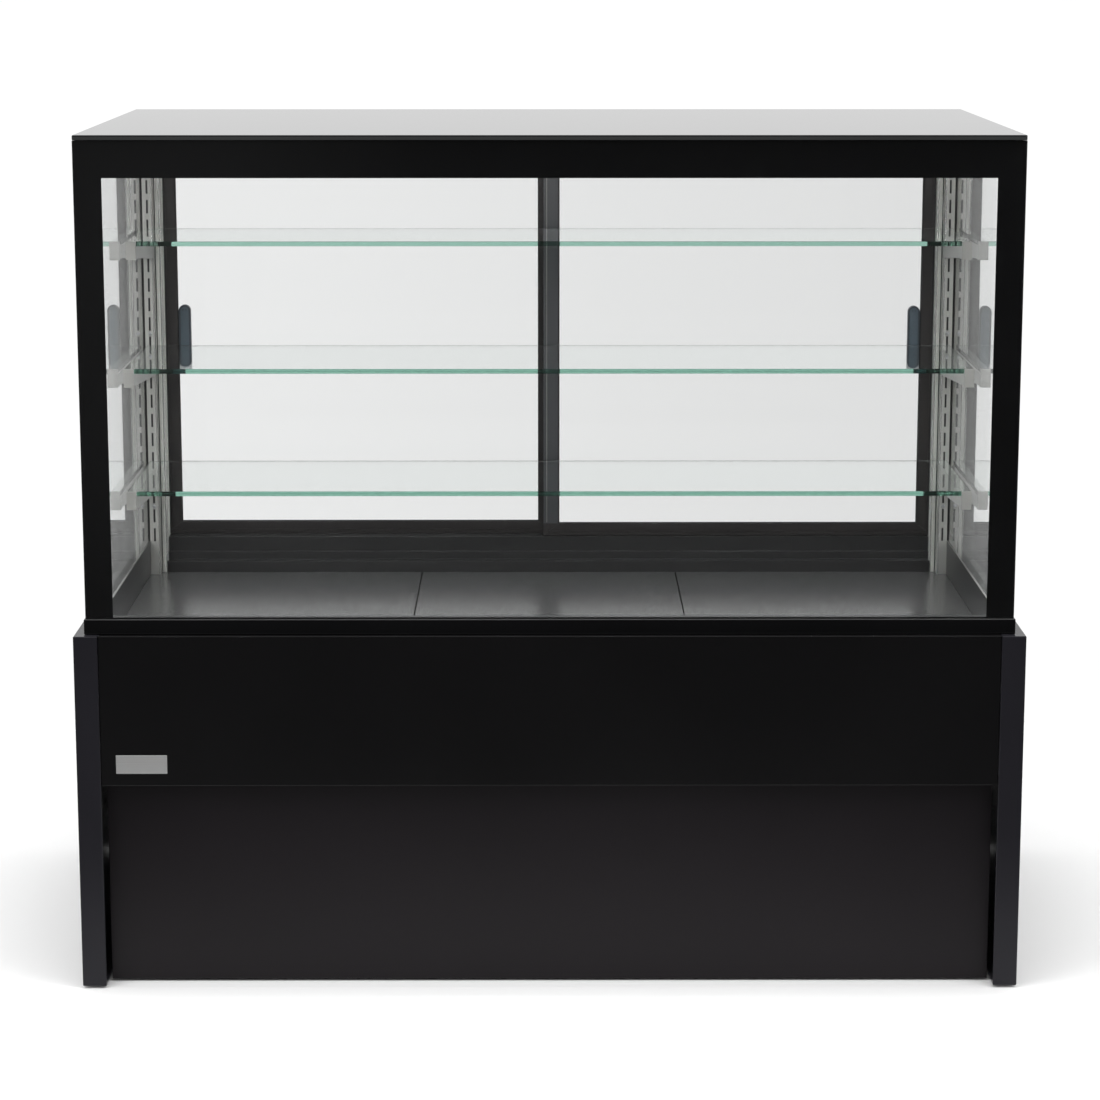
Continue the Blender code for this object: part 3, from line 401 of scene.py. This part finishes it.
def mitred_frame(name, low, high, across, up, section, material, body):
    """Four bars round a rectangle in X and Z, with mitred ends.

    The section lists (share, y): the share of a bar's width from its outer edge, and the place
    in Y. Upright bars are as wide as across, level ones as wide as up.
    """
    mesh = bmesh.new()
    corners = [
        (low.x, low.z, 1, 1),
        (high.x, low.z, -1, 1),
        (high.x, high.z, -1, -1),
        (low.x, high.z, 1, -1),
    ]
    for i, first in enumerate(corners):
        second = corners[(i + 1) % 4]
        along = Vector((second[0] - first[0], 0.0, second[1] - first[1])).normalized()
        ends = []
        for (x, z, right, rise), side in ((first, MITRE), (second, -MITRE)):
            ring = []
            for share, y in section:
                spot = Vector((x + right * share * across, y, z + rise * share * up))
                ring.append(mesh.verts.new(spot + along * side))
            ends.append(ring)
            mesh.faces.new(ring)
        for j in range(len(section)):
            mesh.faces.new((ends[0][j - 1], ends[0][j], ends[1][j], ends[1][j - 1]))
    return piece(name, mesh, material, body)


def eased(name, width):
    """Stands a copy of a node, with its edges rounded, in the node's place."""
    mesh = bmesh.new()
    mesh.from_mesh(NODES[name].data)
    bmesh.ops.remove_doubles(mesh, verts=mesh.verts, dist=0.00001)
    bmesh.ops.dissolve_limit(mesh, angle_limit=0.01, verts=mesh.verts, edges=mesh.edges)
    made = piece(f"{name}_rounded", mesh, FINISH_OF[name], BODY_OF[name], width)
    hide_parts(name)
    return made


# ---------------------------------------------------------------- glazing

FRONT_LOW, FRONT_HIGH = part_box("front_glass")
BORDER_SIDE = 0.043
BORDER_BOTTOM = 1.294
INK = 0.00015
PRINT_GAP = 0.00005  # between the print and its glass
PANE = 0.005
SPACER_DEEP = 0.007
SPACER_FOOT = 0.0026
SPACER_INSET = 0.001
SIDE_BORDER = 0.035  # the side glasses' printed border along their front edge
JAMB_COVER = 0.004  # the print reaches this far in front of the jamb
SEAL = 0.0035
RAIL_STRIP_END = 0.003  # the strips on the base rail stop this far short of its ends
# width of the painted highlight strip along the base rail's front edge
RAIL_HIGHLIGHT_WIDTH = 0.0016
BEAD_WIDTH = 0.0012
PAN_JOINT = 0.0014


def front_print():
    """The enamel border on the back of the front glass: a band at the top and one each side."""
    y = FRONT_HIGH.y + PRINT_GAP
    low, high = FRONT_LOW, FRONT_HIGH
    bands = [
        ((low.x, y, BORDER_BOTTOM), (high.x, y + INK, high.z)),
        ((low.x, y, low.z), (low.x + BORDER_SIDE, y + INK, BORDER_BOTTOM)),
        ((high.x - BORDER_SIDE, y, low.z), (high.x, y + INK, BORDER_BOTTOM)),
    ]
    boxes("front_glass_print", bands, PRINT)


def side_unit(side, sign):
    """A sealed double-glazed unit: two panes, a spacer bar and an enamel border."""
    low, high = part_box(f"{side}_side_glass")
    inner, outer = sorted((abs(low.x), abs(high.x)))

    def span(a, b):
        return sorted((sign * a, sign * b))

    x0, x1 = span(inner, inner + PANE)
    x2, x3 = span(outer - PANE, outer)
    panes = boxes(
        f"{side}_side_panes",
        [((x0, low.y, low.z), (x1, high.y, high.z)), ((x2, low.y, low.z), (x3, high.y, high.z))],
        CLEAR,
    )
    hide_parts(f"{side}_side_glass")
    s0, s1 = span(inner + PANE + SKIN, outer - PANE - SKIN)
    front, back = low.y + SPACER_INSET, high.y - SPACER_INSET
    foot, head = low.z + SPACER_FOOT, high.z - SPACER_DEEP
    boxes(
        f"{side}_spacer_bar",
        [
            ((s0, front, low.z + SKIN), (s1, back, foot)),
            ((s0, front, head), (s1, back, high.z - SKIN)),
            ((s0, front, foot), (s1, low.y + SPACER_DEEP, head)),
            ((s0, high.y - SPACER_DEEP, foot), (s1, back, head)),
        ],
        SPACER,
    )
    p0, p1 = span(outer - PANE - INK, outer - PANE - PRINT_GAP)
    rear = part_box(f"{side}_jamb")[0].y - JAMB_COVER
    boxes(
        f"{side}_side_glass_print",
        [
            ((p0, low.y, BORDER_BOTTOM), (p1, high.y, high.z)),
            ((p0, low.y, low.z), (p1, low.y + SIDE_BORDER, BORDER_BOTTOM)),
            ((p0, rear, low.z), (p1, high.y, BORDER_BOTTOM)),
        ],
        PRINT,
    )


def spacer_finish():
    """Mill-finish spacer bar with its row of breather holes."""
    made = shader("spacer_bar_aluminium", (0.5, 0.5, 0.5), 0.4, 1.0)
    place = node(made, "ShaderNodeTexCoord")
    wave = node(made, "ShaderNodeTexWave", bands_direction="Y", Scale=90.0)
    link(made, place.outputs["Object"], wave.inputs["Vector"])
    vary_colour(made, wave.outputs["Fac"], (0.10, 0.10, 0.10), (0.62, 0.62, 0.61))
    return made


SPACER = spacer_finish()
front_print()
for side, sign in SIGNS:
    side_unit(side, sign)


def seals():
    """Silicone in the corners between the front glass and the side units."""
    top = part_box("canopy_panel")[0].z
    for side, sign in SIGNS:
        low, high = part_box(f"{side}_side_glass")
        inner = sign * min(abs(low.x), abs(high.x))
        back = FRONT_HIGH.y + SKIN
        outline = [(inner, back), (inner - sign * SEAL, back), (inner, back + SEAL)]
        prism(f"{side}_corner_seal", outline, "Z", low.z + SKIN, top, SEALANT_AND_SHADE)


def glass_bed():
    """The ledges before and behind the front glass, the one behind in a darker tone of painted shade, and a
    painted highlight along the base rail's front edge.
    """
    rail_low, rail_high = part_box("glass_base_rail")
    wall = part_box("display_surround")[0]
    ledge = rail_high.z
    back = FRONT_HIGH.y + SKIN
    # Painted shade: the ledge behind the glass is a darker copy of the deck steel.
    rear = [((wall.x, back, ledge), (-wall.x, wall.y - SKIN / 2, ledge + 0.0005))]
    boxes("glass_rear_ledge", rear, LEDGE_SHADED_STEEL)
    left, right, front = rail_low.x + RAIL_STRIP_END, rail_high.x - RAIL_STRIP_END, rail_low.y
    under = ledge - SKIN
    bead = FRONT_LOW.y - BEAD_WIDTH
    bed = [
        ((left, front + RAIL_HIGHLIGHT_WIDTH + SKIN, under), (right, bead, ledge + 0.0003)),
        ((left, bead, under), (right, FRONT_LOW.y - SKIN, ledge + 0.0013)),
    ]
    boxes("glass_bed", bed, GLASS_BED)
    # Painted highlight: a thin lighter strip along the rail's front edge, where it catches the light.
    highlight_low = (left, front - SKIN / 2, ledge - 0.0011)
    highlight_high = (right, front + RAIL_HIGHLIGHT_WIDTH, ledge + SKIN)
    boxes("rail_edge_highlight", [(highlight_low, highlight_high)], RAIL_HIGHLIGHT)


def top_edge():
    """The ground front edge of the top sheet, painted lighter to stand in for the highlight along that
    edge.
    """
    low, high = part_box("top_panel")
    start = (low.x + 0.001, low.y - SKIN, low.z + 0.0006)
    end = (high.x - 0.001, low.y + SKIN, high.z - 0.0022)
    boxes("top_ground_edge_highlight", [(start, end)], GROUND_EDGE_HIGHLIGHT)


def pan_seams():
    """The dark joints on either side of the middle deck pan, drawn on its own edges."""
    low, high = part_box("middle_deck_pan")
    for side, sign in SIGNS:
        x0, x1 = sorted((sign * (high.x - PAN_JOINT), sign * high.x))
        joint = [((x0, low.y, high.z - 0.0003), (x1, high.y, high.z + 0.0001))]
        boxes(f"{side}_pan_joint", joint, GLASS_BED, "middle_deck_pan")


seals()
glass_bed()
top_edge()
pan_seams()


# ---------------------------------------------------------------- doors

DOOR_BITE = 0.006  # how far a pane reaches into its frame
DOOR_LIP = 0.0010  # the gasket's width in front of the bars
PULL_RIM = 0.0032
PULL_PROUD = 0.0006  # how far the inlay stands in front of the pull
STRIP_WIDTH = 0.0262  # the interlock on the meeting stile
STRIP_END = 0.022  # and how far it stops short of the frame's ends


def door(side):
    """Mitred frame bars, glazing gaskets and the finger pull's inlay."""
    body = f"{side}_door"
    low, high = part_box(f"{side}_door_frame")
    pane_low, pane_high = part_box(f"{side}_door_glass")
    bite = Vector((DOOR_BITE, 0.0, DOOR_BITE))
    open_low, open_high = pane_low + bite, pane_high - bite
    across, up = open_low.x - low.x, open_low.z - low.z
    front, back, ease, dip = low.y, high.y, 0.0007, 0.0011
    section = [
        (0.00, front + ease),
        (0.03, front),
        (0.26, front),
        (0.28, front + dip),
        (0.36, front + dip),
        (0.38, front),
        (0.97, front),
        (1.00, front + ease),
        (1.00, back - ease),
        (0.97, back),
        (0.03, back),
        (0.00, back - ease),
    ]
    bars = mitred_frame(f"{side}_door_bars", low, high, across, up, section, FRAME_BLACK, body)
    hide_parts(f"{side}_door_frame")
    for face, start, end in (("front", pane_low.y, front + 0.0012), ("rear", pane_high.y, back - 0.0012)):
        foot = start + (SKIN if end > start else -SKIN)
        middle = start + (end - start) * 0.6
        gasket = [(0.0, foot), (0.0, end), (0.45, end), (1.0, middle), (1.0, foot)]
        name = f"{side}_door_{face}_gasket"
        mitred_frame(name, open_low, open_high, DOOR_LIP, DOOR_LIP, gasket, RUBBER, body)
    pull_low, pull_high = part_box(f"{side}_door_pull")
    centre = (pull_low + pull_high) / 2
    size = pull_high - pull_low
    eased(f"{side}_door_pull", 0.0007)
    outline = stadium((centre.x, centre.z), size.x - 2 * PULL_RIM, size.z - 2 * PULL_RIM)
    face = pull_low.y - PULL_PROUD
    prism(f"{side}_pull_inlay", outline, "Y", face, pull_low.y + 0.0004, PULL_INLAY, body, 0.0003)
    dots = [(centre.x + offset, face, pull_high.z - 0.0085) for offset in (-0.0026, 0.0026)]
    screws(f"{side}_pull_pins", dots, (0, -1, 0), 0.0011, BLACK_PLASTIC_AND_SHADE, body)


for side in SIDES:
    door(side)


def meeting_strip():
    """The interlock on the right door's inner stile, with a painted highlight line along it."""
    low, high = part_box("right_door_frame")
    face = low.y
    start = (low.x + 0.0006, face - 0.0004, low.z + STRIP_END)
    end = (low.x + STRIP_WIDTH, face + 0.0001, high.z - STRIP_END)
    boxes("door_meeting_strip", [(start, end)], MEETING_GREY, "right_door", 0.0001)
    # Painted highlight: a thin lighter grey line down the dark interlock.
    start = (low.x + 0.0060, face - 0.0006, low.z + STRIP_END + 0.002)
    end = (low.x + 0.0068, face - SKIN, high.z - STRIP_END - 0.002)
    boxes("door_meeting_highlight", [(start, end)], UPRIGHT_GREY_AND_HIGHLIGHT, "right_door")


meeting_strip()


# ---------------------------------------------------------------- cabinet

for name, width in (
    ("front_fascia", 0.0014),
    ("kick_panel", 0.0012),
    ("left_side_panel", 0.0012),
    ("right_side_panel", 0.0012),
    ("rear_fascia", 0.0010),
    ("glass_base_rail", 0.0012),
    ("top_panel", 0.0024),
    ("display_surround", 0.0005),
    ("badge_plate", 0.0006),
    ("left_jamb", 0.0006),
    ("right_jamb", 0.0006),
    ("control_panel", 0.0008),
    ("led_lamp", 0.0006),
    ("rear_sill", 0.0010),
):
    eased(name, width)
for level in LEVELS:
    for side in SIDES:
        eased(f"{level}_{side}_bracket", 0.0006)

FIRST_SLOT = 0.6144  # middle of the uprights' lowest slot
SLOT_PITCH = 0.0343
SLOT_COUNT = 20
SLOT_HALF = (0.0017, 0.0118)  # half a slot's width and height
JAMB_GROOVE = 0.6918
JAMB_STRIP = 0.0009  # half its width
JAMB_LIP = 0.0013  # radius of the jambs' drawn lip
UPRIGHT_LIP = 0.0009
SHEET = 0.0014  # the surround's rim
SCREW = 0.0042  # radius of the rear panels' screws


def upright_screws():
    """Fixing screws between the slots of each upright."""
    for side in SIDES:
        low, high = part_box(f"{side}_slotted_upright")
        x = (low.x + high.x) / 2
        places = [(x, low.y, FIRST_SLOT + SLOT_PITCH * (step + 0.5)) for step in (1, 10, 18)]
        screws(f"{side}_upright_screws", places, (0, -1, 0), 0.0034, STEEL)


def slot_shadows():
    """Painted shade: a black sheet in the depth of each slot, and black strips in the gaps beside the
    uprights and in the jambs' grooves.
    """
    wide, tall = SLOT_HALF
    for side, sign in SIGNS:
        low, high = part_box(f"{side}_slotted_upright")
        middle = (low.x + high.x) / 2
        # Painted shade: a black sheet just behind each slot's face.
        depth = low.y + 0.0011
        places = []
        for step in range(SLOT_COUNT):
            z = FIRST_SLOT + SLOT_PITCH * step
            places.append(((middle - wide, depth, z - tall), (middle + wide, depth + 0.0003, z + tall)))
        boxes(f"{side}_slot_shade", places, BLACK_PLASTIC_AND_SHADE)
        glass_face = sign * min(abs(corner.x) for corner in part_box(f"{side}_side_glass"))
        outer = sign * max(abs(low.x), abs(high.x))
        x0, x1 = sorted((outer + sign * 0.0001, glass_face - sign * 0.0001))
        # Painted shade: a black strip in the gap between each upright and the side glass.
        boxes(f"{side}_upright_seal", [((x0, low.y + 0.001, low.z), (x1, high.y, high.z))], SEALANT_AND_SHADE)
        low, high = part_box(f"{side}_jamb")
        groove = sign * JAMB_GROOVE
        start = (groove - JAMB_STRIP, low.y - 0.0004, low.z)
        end = (groove + JAMB_STRIP, low.y + 0.0004, high.z)
        # Painted shade: a black strip down the jamb's groove.
        boxes(f"{side}_jamb_groove_shade", [(start, end)], SEALANT_AND_SHADE)


def bead(name, x, y, low, high, radius):
    """A half-round drawn lip that stands along an upright edge, towards the front."""
    steps = 8
    outline = []
    for i in range(steps + 1):
        angle = math.pi + math.pi * i / steps
        outline.append((x + radius * math.cos(angle), y + radius * math.sin(angle)))
    prism(name, outline, "Z", low, high, SILVER_LIP)


def drawn_lips():
    """Bright lips on the inner edges of the jambs and uprights, and a painted highlight along the top of
    the surround's side rims.
    """
    for side, sign in SIGNS:
        for part, radius in (("jamb", JAMB_LIP), ("slotted_upright", UPRIGHT_LIP)):
            low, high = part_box(f"{side}_{part}")
            x = sign * (min(abs(low.x), abs(high.x)) + radius)
            bead(f"{side}_{part}_lip", x, low.y, low.z + 0.001, high.z - 0.001, radius)
    # Painted highlight: pale strips along the top of the surround's side rims.
    low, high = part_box("display_surround")
    front, under, over = low.y + SHEET, high.z - 0.0004, high.z + 0.0003
    boxes(
        "surround_rim_highlight",
        [
            ((low.x, front, under), (low.x + SHEET, high.y, over)),
            ((high.x - SHEET, front, under), (high.x, high.y, over)),
        ],
        RIM_HIGHLIGHT,
    )


upright_screws()
slot_shadows()
drawn_lips()


def lamp():
    """Opal diffuser and end caps under the lamp's housing."""
    low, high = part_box("led_lamp")
    wall, sag, cap, steps = 0.003, 0.0012, 0.004, 8
    outline = []
    for i in range(steps + 1):
        share = i / steps
        y = low.y + wall + (high.y - low.y - 2 * wall) * share
        outline.append((y, low.z - sag * math.sin(math.pi * share)))
    outline += [(high.y - wall, low.z + 0.001), (low.y + wall, low.z + 0.001)]
    prism("lamp_diffuser", outline, "X", low.x + cap, high.x - cap, DIFFUSER)
    ends = []
    for x in (low.x - 0.0006, high.x - cap):
        ends.append(((x, low.y + 0.001, low.z - 0.0014), (x + cap, high.y - 0.001, high.z - 0.001)))
    boxes("lamp_end_caps", ends, BLACK_PLASTIC_AND_SHADE, bevel=0.0006)


lamp()


def rear_fixings():
    """Screws of the rear fascia and of its louvred grille."""
    low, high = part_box("rear_fascia")
    places = []
    for x in (low.x + 0.020, -0.24, 0.24, high.x - 0.020):
        places.append((x, high.y, high.z - 0.012))
    screws("rear_fascia_screws", places, (0, 1, 0), SCREW, STEEL)
    low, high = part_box("service_grille")
    levels = (low.z + 0.018, high.z - 0.018)
    places = [(x, high.y, z) for x in (low.x + 0.03, high.x - 0.03) for z in levels]
    screws("service_grille_screws", places, (0, 1, 0), SCREW, STEEL)


rear_fixings()


def control_face():
    """The temperature display's lens and its indicator."""
    low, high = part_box("control_panel")
    face = high.y
    middle = (low.z + high.z) / 2
    left = low.x + 0.020
    wide, half_tall = 0.055, 0.011
    start = (left, face - 0.001, middle - half_tall)
    end = (left + wide, face + 0.0006, middle + half_tall)
    boxes("display_lens", [(start, end)], DISPLAY_LENS, bevel=0.0005)
    screws("indicator_lamp", [(left + 0.020, face, middle + 0.0195)], (0, 1, 0), 0.0016, DIFFUSER)


control_face()


def turns(count):
    """That many angles, evenly spread round a turn."""
    return [2 * math.pi * i / count for i in range(count)]


COMPRESSOR_SHELL = 0.0865  # its radius
PIPE_TOP = 0.022  # the compressor's pipes start this far under its top


def compressor_fittings():
    """The compressor's weld seam, terminal cover, bolts and pipes."""
    low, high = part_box("compressor")
    centre = (low + high) / 2
    shell = COMPRESSOR_SHELL
    seam = []
    for angle in turns(12):
        x, y = centre.x + shell * math.cos(angle), centre.y + shell * math.sin(angle)
        seam.append((x, y, low.z + 0.088))
    tube("compressor_seam", seam, 0.0022, SHELL_BLACK, closed=True)
    cover_low = (centre.x - 0.028, centre.y - shell - 0.026, low.z + 0.070)
    cover_high = (centre.x + 0.028, centre.y - shell + 0.006, low.z + 0.118)
    boxes("compressor_terminal_cover", [(cover_low, cover_high)], BLACK_PLASTIC_AND_SHADE, bevel=0.004)
    inset = 0.014
    rows = (low.y + inset, high.y - inset)
    bolts = [(x, y, low.z + 0.016) for x in (low.x + inset, high.x - inset) for y in rows]
    screws("compressor_bolts", bolts, (0, 0, 1), 0.0075, STEEL)

    coil_low, coil_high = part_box("condenser_coil")
    top = high.z
    tube(
        "discharge_pipe",
        [
            (centre.x - 0.050, centre.y, top - PIPE_TOP),
            (centre.x - 0.052, centre.y, top + 0.020),
            (centre.x - 0.110, centre.y + 0.030, top + 0.045),
            (coil_high.x + 0.110, coil_low.y - 0.010, top + 0.045),
            (coil_high.x + 0.050, coil_low.y + 0.020, coil_high.z - 0.020),
            (coil_high.x - 0.002, coil_low.y + 0.020, coil_high.z - 0.024),
        ],
        0.0032,
        COPPER,
    )
    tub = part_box("insulated_tub")[0].z
    tube(
        "suction_pipe",
        [
            (centre.x + 0.052, centre.y, top - PIPE_TOP),
            (centre.x + 0.054, centre.y, top + 0.015),
            (centre.x + 0.070, centre.y - 0.030, top + 0.035),
            (centre.x + 0.072, centre.y - 0.034, tub + 0.002),
        ],
        0.0048,
        COPPER,
    )


def condenser_bends():
    """The copper bends that stand out of both ends of the condenser."""
    low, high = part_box("condenser_coil")
    bends = 7
    margin = 0.030
    middle = (low.y + high.y) / 2
    for i in range(bends):
        z = low.z + margin + (high.z - low.z - 2 * margin) * i / (bends - 1)
        for side, end, x in (("left", -1, low.x), ("right", 1, high.x)):
            points = [
                (x, middle - 0.012, z),
                (x + end * 0.008, middle - 0.010, z),
                (x + end * 0.012, middle, z),
                (x + end * 0.008, middle + 0.010, z),
                (x, middle + 0.012, z),
            ]
            tube(f"condenser_bend_{i}_{side}", points, 0.0035, COPPER)


def fan_guard():
    """Rings and spokes of wire in front of the condenser's fan."""
    low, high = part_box("condenser_fan")
    axle = (low + high) / 2
    reach = (high.x - low.x) / 2
    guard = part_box("fan_shroud")[0].y - 0.004
    for i in range(5):
        radius = reach * (0.30 + 0.19 * i)
        ring = [(axle.x + radius * math.cos(a), guard, axle.z + radius * math.sin(a)) for a in turns(12)]
        tube(f"fan_guard_ring_{i}", ring, 0.0011, STEEL, closed=True)
    start = Vector((axle.x, guard + 0.0016, axle.z))
    for i, angle in enumerate(turns(4)):
        way = Vector((math.cos(angle), 0.0, math.sin(angle)))
        ends = [start + way * reach * 0.2, start + way * reach * 1.09]
        tube(f"fan_guard_spoke_{i}", ends, 0.0014, STEEL)


def foot_nuts():
    """A lock nut on each foot's stud."""
    radius = 0.0105
    for foot in ("front_left", "front_right", "rear_left", "rear_right"):
        low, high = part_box(f"{foot}_foot")
        spot = (low + high) / 2
        nut = [(spot.x + radius * math.cos(a), spot.y + radius * math.sin(a)) for a in turns(6)]
        prism(f"{foot}_lock_nut", nut, "Z", high.z - 0.016, high.z - 0.008, STEEL, bevel=0.0006)


compressor_fittings()
condenser_bends()
fan_guard()
foot_nuts()


# ---------------------------------------------------------------- stage

FLOOR_RADIUS = 1.8
FLOOR_DROP = 0.0002  # the floor lies this far under the feet
SOFT_BOXES = (  # name, place, what it points at, side in metres, watts
    ("left_soft_box", (-2.6, -2.4, 3.0), (0.0, 0.0, 0.7), 1.8, 50.0),
    ("right_soft_box", (2.6, -2.4, 3.0), (0.0, 0.0, 0.7), 1.8, 38.0),
    ("top_soft_box", (0.0, -0.4, 3.8), (0.0, 0.0, 0.0), 2.6, 120.0),
)
LAMP_POWER = 3.4
LAMP_TILT = math.radians(35.0)  # towards the shelves

# The studio's brightness: the wall behind the case, the room in front of it, and the camera's
# own view of the background.
WALL_LEFT = 0.97
WALL_RIGHT = 0.85
WALL_UPPER = 0.885
ROOM = 0.031
ROOM_LEFT = 0.075
ROOM_FLOOR = 0.50
ROOM_UPPER = 0.90
WHITE = 1.02


def floor():
    """A pale round floor that fades out into the bright studio."""
    mesh = bmesh.new()
    bmesh.ops.create_circle(mesh, cap_ends=True, segments=96, radius=FLOOR_RADIUS)
    data = bpy.data.meshes.new("floor")
    mesh.to_mesh(data)
    mesh.free()
    sheet = bpy.data.objects.new("floor", data)
    sheet.location = (0.0, 0.3, -FLOOR_DROP)
    data.materials.append(floor_paint())
    SCENE.collection.objects.link(sheet)


def lights():
    """Soft boxes above, kept out of mirror images, and the lamp under the case's top."""
    for name, place, aim, size, power in SOFT_BOXES:
        light = bpy.data.lights.new(name, "AREA")
        light.shape = "SQUARE"
        light.size = size
        light.energy = power
        holder = bpy.data.objects.new(name, light)
        holder.location = place
        holder.rotation_euler = (Vector(aim) - Vector(place)).to_track_quat("-Z", "Y").to_euler()
        holder.visible_glossy = False
        SCENE.collection.objects.link(holder)
    low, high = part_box("led_lamp")
    glow = bpy.data.lights.new("display_lamp_light", "AREA")
    glow.shape = "RECTANGLE"
    glow.size = high.x - low.x - 0.02
    glow.size_y = 0.02
    glow.energy = LAMP_POWER
    holder = bpy.data.objects.new("display_lamp_light", glow)
    holder.location = (0.0, (low.y + high.y) / 2, low.z - 0.004)
    holder.rotation_euler = (LAMP_TILT, 0.0, 0.0)
    SCENE.collection.objects.link(holder)


def set_range(step, start, end, low, high):
    """Sets a Map Range node's bounds: from start to end, to low to high."""
    for socket, value in (("From Min", start), ("From Max", end), ("To Min", low), ("To Max", high)):
        step.inputs[socket].default_value = value


def floor_paint():
    """Matt pale paint that fades to nothing towards the floor's rim."""
    paint = shader("pale_floor", (0.80, 0.80, 0.80), 0.9, Specular_IOR_Level=0.1)
    vary_roughness(paint, noise(paint, 2.0), 0.85, 0.95)
    place = node(paint, "ShaderNodeTexCoord")
    reach = node(paint, "ShaderNodeVectorMath", operation="LENGTH")
    link(paint, place.outputs["Object"], reach.inputs[0])
    fade = node(paint, "ShaderNodeMapRange", interpolation_type="SMOOTHSTEP")
    set_range(fade, FLOOR_RADIUS * 0.5, FLOOR_RADIUS, 1.0, 0.0)
    link(paint, reach.outputs["Value"], fade.inputs["Value"])
    link(paint, fade.outputs["Result"], surface_of(paint).inputs["Alpha"])
    return paint


def studio_world():
    """Bright behind the case and dim in front of it, as a light wall makes a studio.

    Each ramp runs between two values of a direction's X, Y or Z.
    """
    world = bpy.data.worlds.new("studio")
    world.use_nodes = True
    SCENE.world = world
    tree = world.node_tree
    background = tree.nodes["Background"]

    def add(kind):
        return tree.nodes.new(kind)

    place = add("ShaderNodeTexCoord")
    parts = add("ShaderNodeSeparateXYZ")
    tree.links.new(place.outputs["Generated"], parts.inputs["Vector"])

    def ramp(source, start, end, low, high):
        step = add("ShaderNodeMapRange")
        step.interpolation_type = "SMOOTHSTEP"
        set_range(step, start, end, low, high)
        tree.links.new(source, step.inputs["Value"])
        return step.outputs["Result"]

    def product(first, second):
        step = add("ShaderNodeMath")
        step.operation = "MULTIPLY"
        tree.links.new(first, step.inputs[0])
        tree.links.new(second, step.inputs[1])
        return step.outputs["Value"]

    def mixed(factor, first, second):
        """Numbers or sockets, mixed by a socket."""
        step = add("ShaderNodeMix")
        step.data_type = "FLOAT"
        tree.links.new(factor, step.inputs["Factor"])
        for socket, value in (("A", first), ("B", second)):
            if isinstance(value, float):
                step.inputs[socket].default_value = value
            else:
                tree.links.new(value, step.inputs[socket])
        return step.outputs["Result"]

    aside, ahead, up = (parts.outputs[axis] for axis in "XYZ")
    across = ramp(aside, -0.18, 0.18, WALL_LEFT, WALL_RIGHT)
    wall = mixed(ramp(up, -0.06, 0.05, 0.0, 1.0), across, WALL_UPPER)
    glow = product(ramp(aside, -0.12, -0.01, 1.0, 0.0), ramp(up, -0.24, -0.13, 0.2, 1.0))
    room = mixed(glow, ROOM, ROOM_LEFT)
    room = mixed(ramp(up, -0.42, -0.255, 1.0, 0.0), room, ROOM_FLOOR)
    room = mixed(ramp(up, 0.06, 0.40, 0.0, 1.0), room, ROOM_UPPER)
    behind = ramp(ahead, -0.15, 0.45, 0.0, 1.0)
    scene_light = mixed(behind, room, wall)
    seen = add("ShaderNodeLightPath")
    direct = mixed(seen.outputs["Is Camera Ray"], scene_light, WHITE)
    tree.links.new(direct, background.inputs["Strength"])
    background.inputs["Color"].default_value = (1.0, 1.0, 1.0, 1.0)


floor()
lights()
studio_world()

SENSOR = 36.0  # mm
FOCAL_LENGTH = 102.22  # mm
CAMERA_PLACE = (-0.0142, -5.195, 1.6452)
CAMERA_DIP = 0.19116  # radians under the level
CAMERA_TURN = -0.0030


def camera():
    """The photograph's viewpoint."""
    data = bpy.data.cameras.new("camera")
    data.sensor_width = SENSOR
    data.lens = FOCAL_LENGTH
    data.clip_start = 0.05
    data.clip_end = 60.0
    holder = bpy.data.objects.new("camera", data)
    holder.location = CAMERA_PLACE
    holder.rotation_euler = (math.pi / 2 - CAMERA_DIP, 0.0, CAMERA_TURN)
    SCENE.collection.objects.link(holder)
    SCENE.camera = holder


camera()
SCENE.view_settings.view_transform = "Standard"
SCENE.cycles.max_bounces = 28
SCENE.cycles.transmission_bounces = 24
SCENE.cycles.glossy_bounces = 16
SCENE.cycles.diffuse_bounces = 4
